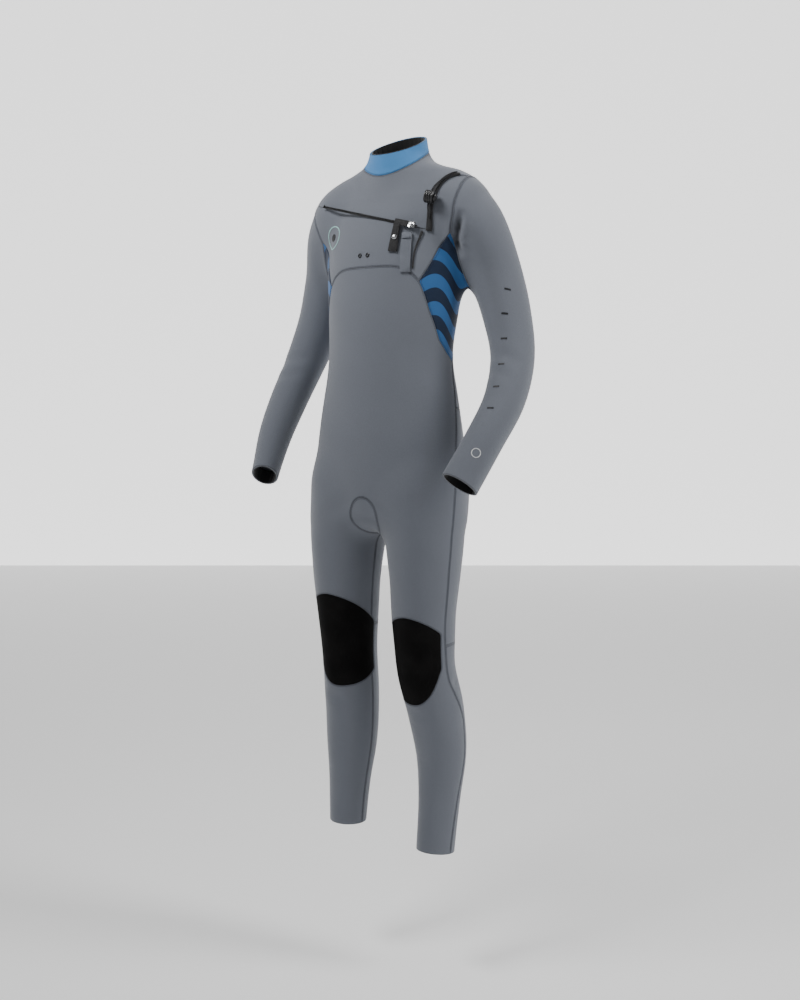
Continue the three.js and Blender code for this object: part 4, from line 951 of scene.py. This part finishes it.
GREY = (0.150, 0.163, 0.192)
cloths = {
    "grey": jersey("grey_neoprene", GREY),
    "blue": jersey("collar_blue", (0.060, 0.225, 0.500), heather=0.08),
    "lining": jersey("black_lining", (0.008, 0.008, 0.009)),
    "print": wave_print(),
    "rubber": knee_rubber(),
    "tape": webbing("black_webbing", (0.010, 0.010, 0.011)),
    "seam": thread("seam_thread", (0.010, 0.015, 0.034)),
    "plastic": plastic("black_plastic", (0.012, 0.012, 0.013)),
    "steel": steel(),
    "mint": print_ink("badge_mint", (0.40, 0.68, 0.66)),
    "white": print_ink("badge_white", (0.78, 0.79, 0.80)),
    "ink": print_ink("sleeve_ink", (0.014, 0.015, 0.018)),
}


# ---------------------------------------------------------------------------
# Geometry Nodes: one small piece repeated along a line that lies on the suit
# ---------------------------------------------------------------------------
def repeat_tree():
    """A rounded stud set along a line at an even pitch, turned to the line and to the cloth."""
    tree = bpy.data.node_groups.new("repeat_along_line", "GeometryNodeTree")
    face = tree.interface
    face.new_socket("Geometry", in_out="INPUT", socket_type="NodeSocketGeometry")
    for name, value in (("Pitch", 0.003), ("Long", 0.0023), ("Wide", 0.0006), ("High", 0.0006)):
        socket = face.new_socket(name, in_out="INPUT", socket_type="NodeSocketFloat")
        socket.default_value = value
    face.new_socket("Finish", in_out="INPUT", socket_type="NodeSocketMaterial")
    face.new_socket("Geometry", in_out="OUTPUT", socket_type="NodeSocketGeometry")
    add = lambda kind: tree.nodes.new("GeometryNode" + kind)
    join = tree.links.new
    given = tree.nodes.new("NodeGroupInput")
    given_out = {s.name: s for s in given.outputs}
    line = add("MeshToCurve")
    even = add("ResampleCurve")
    even.mode = "LENGTH"
    onto = add("InstanceOnPoints")
    stud = add("MeshUVSphere")
    stud.inputs["Segments"].default_value = 6
    stud.inputs["Rings"].default_value = 4
    stud.inputs["Radius"].default_value = 0.5
    sizes = tree.nodes.new("ShaderNodeCombineXYZ")
    along = add("InputTangent")
    out = add("InputNamedAttribute")
    out.data_type = "FLOAT_VECTOR"
    out.inputs["Name"].default_value = "out"
    by_line = tree.nodes.new("FunctionNodeAlignRotationToVector")
    by_line.axis = "X"
    by_cloth = tree.nodes.new("FunctionNodeAlignRotationToVector")
    by_cloth.axis = "Z"
    by_cloth.pivot_axis = "X"
    real = add("RealizeInstances")
    finish = add("SetMaterial")
    result = tree.nodes.new("NodeGroupOutput")
    join(given_out["Geometry"], line.inputs["Mesh"])
    join(line.outputs["Curve"], even.inputs["Curve"])
    join(given_out["Pitch"], even.inputs["Length"])
    join(even.outputs["Curve"], onto.inputs["Points"])
    join(stud.outputs["Mesh"], onto.inputs["Instance"])
    for name, axis in (("Long", "X"), ("Wide", "Y"), ("High", "Z")):
        join(given_out[name], sizes.inputs[axis])
    join(sizes.outputs["Vector"], onto.inputs["Scale"])
    join(along.outputs["Tangent"], by_line.inputs["Vector"])
    join(by_line.outputs["Rotation"], by_cloth.inputs["Rotation"])
    join(out.outputs["Attribute"], by_cloth.inputs["Vector"])
    join(by_cloth.outputs["Rotation"], onto.inputs["Rotation"])
    join(onto.outputs["Instances"], real.inputs["Geometry"])
    join(real.outputs["Geometry"], finish.inputs["Geometry"])
    join(given_out["Finish"], finish.inputs["Material"])
    join(finish.outputs["Geometry"], result.inputs["Geometry"])
    return tree


repeat = repeat_tree()
socket_of = {s.name: s.identifier for s in repeat.interface.items_tree
             if s.item_type == "SOCKET" and s.in_out == "INPUT"}


def repeated(name, points, edges, out, sizes, finish):
    """A piece of studs along the given line, in millimetres, as one plain mesh in metres."""
    carrier = new_object(name + "_line", points * MM, [], edges)
    attribute = carrier.data.attributes.new("out", "FLOAT_VECTOR", "POINT")
    attribute.data.foreach_set("vector", out.astype(np.float32).ravel())
    modifier = carrier.modifiers.new("Repeat", "NODES")
    modifier.node_group = repeat
    for key, value in zip(("Pitch", "Long", "Wide", "High"), sizes):
        modifier[socket_of[key]] = value * MM
    modifier[socket_of["Finish"]] = finish
    mesh = evaluated_mesh(carrier)
    bpy.data.objects.remove(carrier)
    mesh.name = name
    piece = bpy.data.objects.new(name, mesh)
    bpy.context.scene.collection.objects.link(piece)
    mesh.polygons.foreach_set("use_smooth", [True] * len(mesh.polygons))
    if not mesh.materials:
        mesh.materials.append(finish)
    return piece


# ---------------------------------------------------------------------------
# Sewing: a cut panel becomes a closed sheet of foam cloth
# ---------------------------------------------------------------------------
def cloth_map(points, tris, name):
    """Flat coordinates in metres for each triangle's corners: round the piece, and up it."""
    side = side_of(name)
    tube = None
    if "sleeve" in name:
        tube = arms[side]
    elif bends_at_knee(name):
        tube = legs[side]
    if tube is None:
        middle = torso_section(points[:, 2])[3]
        angle = np.arctan2(points[:, 0], middle - points[:, 1])
        radius, up = 95.0, points[:, 2]
    else:
        place, u, v, _, _, _ = tube.place(points)
        angle = np.arctan2(u, v)
        length = np.linalg.norm(np.diff(tube.middle, axis=0), axis=1)
        up = -np.interp(place, np.arange(len(length) + 1), np.concatenate([[0], np.cumsum(length)]))
        radius = 42.0
    corner = angle[tris]
    wraps = corner.max(1) - corner.min(1) > math.pi
    corner = np.where(wraps[:, None] & (corner < 0), corner + 2 * math.pi, corner)
    return np.stack([corner * radius, up[tris]], axis=2).reshape(-1, 2) * MM


def sewn(name, cloth, finish):
    """A closed shell of the cloth's thickness, its outer edge rolled into the seam."""
    points, out, tris = cloth.data[:, :3], cloth.data[:, 3:6], cloth.tris
    out = unit(out)
    face = cloth.data[:, 6:9]
    count = len(points)
    inner = points - out * CLOTH_THICK
    rim = cloth.edges()
    a, b = rim.T
    walls = np.vstack([np.column_stack([b, a, a + count]), np.column_stack([b, a + count, b + count])])
    faces = np.vstack([tris, tris[:, ::-1] + count, walls])
    everything = np.vstack([points, inner])
    piece = new_object(name + "_cloth", everything * MM, faces)
    mesh = piece.data
    mesh.polygons.foreach_set("use_smooth", [True] * len(mesh.polygons))
    wall_normal = unit(np.cross(everything[walls[:, 1]] - everything[walls[:, 0]],
                                everything[walls[:, 2]] - everything[walls[:, 0]]))
    loops = np.vstack([face[tris].reshape(-1, 3), -out[tris[:, ::-1]].reshape(-1, 3),
                       np.repeat(wall_normal, 3, axis=0)])
    mesh.normals_split_custom_set([tuple(v) for v in unit(loops)])
    layer = mesh.uv_layers.new(name="cloth")
    flat = cloth_map(everything, faces, name)
    layer.data.foreach_set("uv", flat.astype(np.float32).ravel())
    # Painted shade in the folds and along the rolled edges, as a point attribute that the jersey finish
    # reads; the inner face gets none.
    painted_shade_layer = mesh.attributes.new("painted_shade", "FLOAT", "POINT")
    painted_shade_layer.data.foreach_set("value", np.concatenate([cloth.data[:, 9], np.zeros(count)]).astype(np.float32))
    mesh.materials.append(finish)
    return piece


def shaped(cloth):
    """The cloth with its folds, its edge rows and its rolled edge; its shown normals and its painted shade
    join the data.
    """
    away = cloth.edge_distance()
    for row in (SEAM_ROLL, SEAM_ROLL * 0.4):
        cloth = cloth.with_line(away - row)
        away = cloth.edge_distance()
    points, out = cloth.points, unit(cloth.data[:, 3:6])
    near = np.clip(1 - away / SEAM_ROLL, 0, 1)
    roll = SEAM_DEPTH * (1 - np.sqrt(1 - near ** 2 * 0.98))
    moved = points + out * (soft_swell(points) - fold_depth(points) - roll)[:, None]
    # Painted shade: strongest in deep folds and about two thirds as strong along the rolled edge at each
    # seam.
    shade = np.clip(np.maximum((fold_depth(points) / 7.5) ** 2, 0.66 * near), 0, 1)
    cloth.data = np.hstack([moved, out, vertex_normals(moved, cloth.tris), shade[:, None]])
    return cloth, away


def stitched(name, cloth, away, wanted):
    """Rows of stitches beside the seams, where the wanted rule says that there is one."""
    points, edges = cloth.contour(away - STITCH_FROM_EDGE)
    middle = (points[edges[:, 0], :3] + points[edges[:, 1], :3]) / 2
    edges = edges[wanted(middle)]
    if not len(edges):
        return None
    used, which = np.unique(edges, return_inverse=True)
    points, edges = points[used], which.reshape(-1, 2)
    lifted = points[:, :3] + points[:, 3:6] * 0.06
    sizes = (STITCH_PITCH, STITCH_LENGTH, STITCH_THICK, STITCH_THICK)
    return repeated(name + "_stitches", lifted, edges, points[:, 6:9], sizes, cloths["seam"])


# ---------------------------------------------------------------------------
# The camera and the light
# ---------------------------------------------------------------------------
CAMERA_AROUND, CAMERA_ABOVE = math.radians(35), math.radians(5)
CAMERA_FAR = 2.1
CAMERA_AIM = (0, 0, -0.575)
FLOOR_LOW = 0.22  # of the floor under the suit
FLOOR_REACH = 30
BACKDROP_FAR = 5

# Lights: place, aim, size and power
LIGHTS = {
    "key": ((-0.35, -0.9, 0.78), (0, -0.05, -0.08), (0.5, 0.4), 17),
    "rim": ((1.9, 0.5, 0.9), (0.1, 0, -0.3), (0.6, 1.4), 40),
    "low": ((0.9, -2.6, -0.9), (0, 0, -0.8), (1.6, 1.0), 1),
}


def add_camera():
    data = bpy.data.cameras.new("camera")
    data.lens = 43.2
    data.sensor_width = 36
    data.clip_start = 0.05
    camera = bpy.data.objects.new("camera", data)
    bpy.context.scene.collection.objects.link(camera)
    back = Vector((math.sin(CAMERA_AROUND) * math.cos(CAMERA_ABOVE),
                   -math.cos(CAMERA_AROUND) * math.cos(CAMERA_ABOVE), math.sin(CAMERA_ABOVE)))
    camera.location = Vector(CAMERA_AIM) + back * CAMERA_FAR
    camera.rotation_mode = "QUATERNION"
    camera.rotation_quaternion = (-back).to_track_quat("-Z", "Y")
    bpy.context.scene.camera = camera


def add_light(name, at, aim, size, power):
    data = bpy.data.lights.new(name, "AREA")
    data.shape = "RECTANGLE"
    data.size, data.size_y = size
    data.energy = power
    light = bpy.data.objects.new(name, data)
    light.location = at
    light.rotation_mode = "QUATERNION"
    light.rotation_quaternion = (Vector(aim) - Vector(at)).to_track_quat("-Z", "Y")
    bpy.context.scene.collection.objects.link(light)


def studio_surface(name, glow):
    """A plain surface of the studio that gives off a little white light."""
    m = bpy.data.materials.new(name)
    m.use_nodes = True
    shader = m.node_tree.nodes["Principled BSDF"]
    shader.inputs["Emission Color"].default_value = (1, 1, 1, 1)
    shader.inputs["Emission Strength"].default_value = glow
    return m, shader


def add_studio():
    r = FLOOR_REACH
    floor = new_object("floor", [(-r, -r, 0), (r, -r, 0), (r, r, 0), (-r, r, 0)], [(0, 1, 2, 3)])
    floor.data.transform(Matrix.Translation((0, 0, cad_box[0][2] - FLOOR_LOW)))
    pale, shader = studio_surface("pale_floor", 0.14)
    shader.inputs["Base Color"].default_value = (0.93, 0.93, 0.93, 1)
    shader.inputs["Roughness"].default_value = 0.9
    floor.data.materials.append(pale)
    wall = new_object("backdrop", [(-9, 0, -2), (9, 0, -2), (9, 0, 7), (-9, 0, 7)], [(0, 1, 2, 3)])
    wall.data.transform(Matrix.Rotation(CAMERA_AROUND, 4, "Z") @ Matrix.Translation((0, BACKDROP_FAR, 0)))
    wall.data.materials.append(studio_surface("white_backdrop", 1.5)[0])
    world = bpy.data.worlds.new("studio")
    world.use_nodes = True
    world.node_tree.nodes["Background"].inputs["Color"].default_value = (1, 1, 1, 1)
    world.node_tree.nodes["Background"].inputs["Strength"].default_value = 0.15
    bpy.context.scene.world = world
    for name, (at, aim, size, power) in LIGHTS.items():
        add_light(name, at, aim, size, power)


add_camera()
add_studio()

# ---------------------------------------------------------------------------
# Cutting and sewing the suit
# ---------------------------------------------------------------------------
whole = whole_face()
whole = whole.split(inside_rims, gap=0)[0]
panels = cut_panels(whole)

FINISH = {"collar": "blue", "left_side_panel": "print",
          "right_side_panel": "print", "left_knee_pad": "rubber", "right_knee_pad": "rubber"}
STANDS_FOR = {
    "left_sleeve": ("left_upper_sleeve", "left_forearm_sleeve"),
    "right_sleeve": ("right_upper_sleeve", "right_forearm_sleeve"),
    "left_leg_front": ("left_shin_panel",), "right_leg_front": ("right_shin_panel",),
}
KNEE_FROM, KNEE_TO = 68, 84  # how far above and below the bend's middle the cloth bends
BEND_LOW = 20  # of the bend's middle under the knee
KNEE_OUT, KNEE_FORE = 84, -35
ELBOW_FROM, ELBOW_TO = 17, 24  # samples of the arm's middle line


def elbow_ends(side):
    """The stretch of sleeve that bends, along the arm."""
    arm = arms[side]
    return arm.middle[ELBOW_FROM] * MM, arm.middle[ELBOW_TO] * MM


def knee_ends(side):
    z = KNEE[side][1] - BEND_LOW
    x, y = SIGN[side] * KNEE_OUT, KNEE_FORE
    return (x * MM, y * MM, (z + KNEE_FROM) * MM), (x * MM, y * MM, (z - KNEE_TO) * MM)


def follow(piece, name):
    """Rides the piece on its body, or bends it across its joint."""
    side = side_of(name)
    if "sleeve" in name:
        start, end = elbow_ends(side)
        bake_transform(piece, "suit", side + "_forearm", start=tuple(start), end=tuple(end))
    elif bends_at_knee(name):
        start, end = knee_ends(side)
        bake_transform(piece, "suit", side + "_lower_leg", start=start, end=end)
    else:
        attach(piece, "suit")


def seam_rule(name):
    """Where a panel is stitched: not along its open rims, and not where it has a hidden join."""
    def wanted(p):
        keep = inside_rims(p) > 6
        if name in ("neck_yoke", "chest_panel"):
            along_zip = (p[:, 1] < -20) & (np.abs(p[:, 2] - zip_z(p[:, 0])) < 8)
            keep &= ~along_zip
        return keep
    return wanted


def make_panel(name, cloth, finish):
    piece = sewn(name, cloth, cloths[finish])
    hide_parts(*STANDS_FOR.get(name, (name,)))
    follow(piece, name)
    return piece


for name, cloth in panels.items():
    cloth, away = shaped(cloth)
    finish = FINISH.get(name, "grey")
    if name == "front_panel":
        # The front panel runs down both legs, and each knee bends its own part.
        data, tris, above = cloth.divided(cloth.points[:, 2] - THIGH_CUT)
        away = Cloth(data, tris).edge_distance()
        parts = [("front_panel", tris[above])]
        x = data[tris[:, 0], 0]
        parts += [(side + "_leg_front", tris[~above & (x * SIGN[side] > 0)]) for side in ("left", "right")]
    else:
        data, parts = cloth.data, [(name, cloth.tris)]
    for part, tris in parts:
        own = Cloth(np.column_stack([data, away]), tris)
        own_away = own.data[:, -1]
        make_panel(part, own, finish)
        if finish != "rubber":
            rows = stitched(part, own, own_away, seam_rule(part))
            if rows is not None:
                follow(rows, part)

# ---------------------------------------------------------------------------
# Trims: CAD parts with softened edges, and bands laid along lines
# ---------------------------------------------------------------------------
nodes = frame["nodes"]


def refined(name, finish, bevel=0.0, smooth=0):
    """A piece made from a CAD part: its points joined, its edges softened, its faces rounded."""
    piece = bpy.data.objects.new(name + "_piece", nodes[name].data.copy())
    bpy.context.scene.collection.objects.link(piece)
    work = bmesh.new()
    work.from_mesh(piece.data)
    bmesh.ops.remove_doubles(work, verts=work.verts, dist=2e-6)
    bmesh.ops.dissolve_limit(work, angle_limit=math.radians(0.5), verts=work.verts, edges=work.edges)
    work.to_mesh(piece.data)
    work.free()
    custom = piece.data.attributes.get("custom_normal")
    if custom:
        piece.data.attributes.remove(custom)
    if bevel:
        soft = piece.modifiers.new("Soft", "BEVEL")
        soft.width = bevel * MM
        soft.segments = 3
        soft.limit_method = "ANGLE"
        soft.angle_limit = math.radians(32)
        soft.harden_normals = not smooth
    if smooth:
        rounder = piece.modifiers.new("Round", "SUBSURF")
        rounder.levels = smooth
        rounder.render_levels = smooth
    mesh = evaluated_mesh(piece)
    piece.modifiers.clear()
    piece.data = mesh
    mesh.materials.clear()
    mesh.materials.append(finish)
    mesh.polygons.foreach_set("use_smooth", [bool(bevel or smooth)] * len(mesh.polygons))
    for layer in list(mesh.uv_layers):
        mesh.uv_layers.remove(layer)
    layer = mesh.uv_layers.new(name="cloth")
    at = np.zeros(len(mesh.vertices) * 3)
    mesh.vertices.foreach_get("co", at)
    corner = np.zeros(len(mesh.loops), int)
    mesh.loops.foreach_get("vertex_index", corner)
    layer.data.foreach_set("uv", at.reshape(-1, 3)[corner][:, [0, 2]].astype(np.float32).ravel())
    return placed(piece, name)


def placed(piece, *names):
    """The piece stands for these CAD parts, and goes where the first one goes."""
    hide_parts(*names)
    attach(piece, body_of(nodes[names[0]])[0])
    return piece


def laid(p, height=0.0):
    """Points on the cloth's shown face, and its direction there."""
    p = settle(np.atleast_2d(p).astype(float), 4)
    out = body_normal(p)
    return p + out * (soft_swell(p) - fold_depth(p) + height)[:, None], out


def band(name, lines, finish, closed=False, corners=12):
    """Flat bands with rounded edges, each along points with their normals: width, low and high."""
    points, faces = [], []
    turn = np.linspace(0, 2 * math.pi, corners, endpoint=False)
    c, s = np.cos(turn), np.sin(turn)
    c, s = np.sign(c) * np.abs(c) ** 0.5, np.sign(s) * np.abs(s) ** 0.7
    for line, out, width, low, high in lines:
        first, count = len(points), len(line)
        ahead = np.roll(line, -1, 0) - np.roll(line, 1, 0)
        if not closed:
            ahead[0], ahead[-1] = line[1] - line[0], line[-1] - line[-2]
        ahead = unit(ahead)
        up = unit(out - ahead * np.einsum("ij,ij->i", out, ahead)[:, None])
        side = np.cross(ahead, up)
        width = np.broadcast_to(width, count)
        for i in range(count):
            ring = (line[i] + np.outer(c, side[i]) * width[i] / 2
                    + np.outer(s, up[i]) * (high - low) / 2 + up[i] * (high + low) / 2)
            points += list(ring)
        for i in range(count if closed else count - 1):
            j = (i + 1) % count
            for k in range(corners):
                m = (k + 1) % corners
                faces.append(tuple(first + corners * a + b for a, b in ((i, k), (i, m), (j, m), (j, k))))
        if not closed:
            faces.append(tuple(first + k for k in range(corners))[::-1])
            faces.append(tuple(first + corners * (count - 1) + k for k in range(corners)))
    piece = new_object(name, np.array(points) * MM, faces)
    work = bmesh.new()
    work.from_mesh(piece.data)
    bmesh.ops.recalc_face_normals(work, faces=work.faces)
    work.to_mesh(piece.data)
    work.free()
    piece.data.polygons.foreach_set("use_smooth", [True] * len(piece.data.polygons))
    piece.data.materials.append(finish)
    return piece


def around(centre, out, radius, count=64):
    """A ring of points on the suit about a place."""
    u = unit(np.cross([0.0, 0, 1], out))
    v = np.cross(out, u)
    a = np.linspace(0, 2 * math.pi, count, endpoint=False)[:, None]
    return laid(centre + radius * (np.cos(a) * u + np.sin(a) * v))


# The zip lies on an arc through three points of the chest.
ZIP_X = np.array([74.0, -23, -120])
first_at, middle_at, last_at = chest_points(ZIP_X, zip_z(ZIP_X))
one, two = first_at - middle_at, last_at - middle_at
arc_cross = np.cross(one, two)
arc_centre = middle_at + np.cross(two * (one @ one) - one * (two @ two), arc_cross) / (
    2 * arc_cross @ arc_cross)
arc_radius = np.linalg.norm(first_at - arc_centre)
arc_first = unit(first_at - arc_centre)
arc_axis = unit(arc_cross)
arc_second = np.cross(arc_axis, arc_first)
arc_sense = 1 if arc_second @ (last_at - arc_centre) > 0 else -1
arc_second, arc_axis = arc_second * arc_sense, arc_axis * arc_sense
arc_total = math.acos(np.clip(arc_first @ unit(last_at - arc_centre), -1, 1))


def zip_line(start, end, count):
    """Points along the zip and their outward direction, between two distances from the slider."""
    angle = np.linspace(start, end, count)[:, None]
    ray = arc_first * np.cos(angle) + arc_second * np.sin(angle)
    out = ray * math.cos(zip_lean) + arc_axis * math.sin(zip_lean)
    return arc_centre + ray * arc_radius + out * zip_rise, out


zip_lean, zip_rise = 0.0, 0.0
arc_points = zip_line(0, arc_total, 21)[0]
zip_rise = max(-10, (-body_distance(arc_points)).max())
zip_lean = math.asin(body_normal(arc_points[10:11])[0] @ arc_axis)

line, out = zip_line(-9 / arc_radius, arc_total, 60)
across = np.cross(unit(np.gradient(line, axis=0)), out)
for name, sign in (("upper", 1), ("lower", -1)):
    tape = band("tape_" + name, [(line + across * sign * 1.3, out, 2.0, 0.2, 1.3)], cloths["tape"])
    placed(tape, "zip_tape_" + name)
    start = (-7 + (0.65 if sign < 0 else 0)) / arc_radius
    row, row_out = zip_line(start, arc_total - 3 / arc_radius, 120)
    row_across = np.cross(unit(np.gradient(row, axis=0)), row_out)
    row = row + row_across * sign * 0.55 + row_out * 1.7
    joined = [(i, i + 1) for i in range(len(row) - 1)]
    teeth = repeated("teeth_" + name, row, joined, row_out, (1.3, 0.85, 1.5, 1.2), cloths["plastic"])
    placed(teeth, "zip_teeth_" + name)

for name, finish, bevel, smooth in (
        ("zip_end_stop", "plastic", 0.4, 0), ("zip_slider", "steel", 0.6, 0),
        ("pull_rivet", "steel", 0.25, 0),
        ("pull_tab", "tape", 0.45, 0), ("garage_flap", "grey", 0.8, 0), ("garage_binding", "tape", 0.4, 1),
        ("shock_cord", "tape", 0.0, 2),
        ("cord_lock_body", "plastic", 0.35, 0), ("cord_lock_button", "plastic", 0.5, 0),
        ("drain_eyelet_left", "plastic", 0.2, 0), ("drain_eyelet_right", "plastic", 0.2, 0),
        ("collar_lining", "lining", 0.0, 0), ("left_cuff_lining", "lining", 0.0, 0),
        ("right_cuff_lining", "lining", 0.0, 0)):
    refined(name, cloths[finish], bevel, smooth)

# The strap lies over the shoulder in an upright plane, down to the corner of the yoke.
turns = np.radians(np.linspace(-32, 88, 56))[:, None]
STRAP_HEART = [136.0, -20, -92]
strap_way = np.array([-0.682, -0.731, 0]) * np.cos(turns) + np.array([0.0, 0, 1]) * np.sin(turns)
strap = out_from(np.tile(STRAP_HEART, (56, 1)), strap_way, 120)
strap_width = np.linspace(10.5, 6.5, 56)
strap_band = band("shoulder_strap", [(strap, body_normal(strap), strap_width, 0.3, 3.4)], cloths["tape"])
placed(strap_band, "shoulder_binding")

# Printed marks: plain rings, a dot and bars
PRINT_LOW = 0.1  # of a print's underside over the cloth
CHEST_RING_R, CHEST_DOT_R, CUFF_RING_R = 19.5, 3.4, 7.2
CUFF_SAMPLE = 31  # of the arm's middle line


def printed_ring(name, at, radius, width, high, finish):
    """A ring printed on the cloth about a place; a width of nearly twice the radius fills it."""
    ring, out = around(at, body_normal(at[None])[0], radius)
    return band(name, [(ring, out, width, PRINT_LOW, high)], cloths[finish], closed=True)


badge_at = chest_points(-96, -123)[0]
placed(printed_ring("chest_badge_ring", badge_at, CHEST_RING_R, 1.8, 0.5, "mint"), "chest_badge")
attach(printed_ring("chest_badge_dot", badge_at, CHEST_DOT_R, 6.6, 0.5, "ink"), "suit")
cuff_from = arms["left"].middle[CUFF_SAMPLE]
cuff_at = out_from(cuff_from, unit(np.array([[0.35, -0.9, -0.15]])), 80)[0]
placed(printed_ring("cuff_badge_ring", cuff_at, CUFF_RING_R, 1.3, 0.45, "white"), "cuff_badge")

BARS_FROM, BARS_TO, BARS = np.array([215.0, -3, -221]), np.array([229.0, -79, -412]), 6
along = unit(BARS_TO - BARS_FROM)
marks = []
for share in np.linspace(0, 1, BARS):
    at, out = laid(BARS_FROM + (BARS_TO - BARS_FROM) * share)
    across = unit(np.cross(out[0], along))
    bar, bar_out = laid(at[0] + across * np.linspace(-5.5, 5.5, 12)[:, None])
    marks.append((bar, bar_out, 3.2, PRINT_LOW, 0.45))
follow(band("left_sleeve_bars", marks, cloths["ink"]), "left_sleeve")
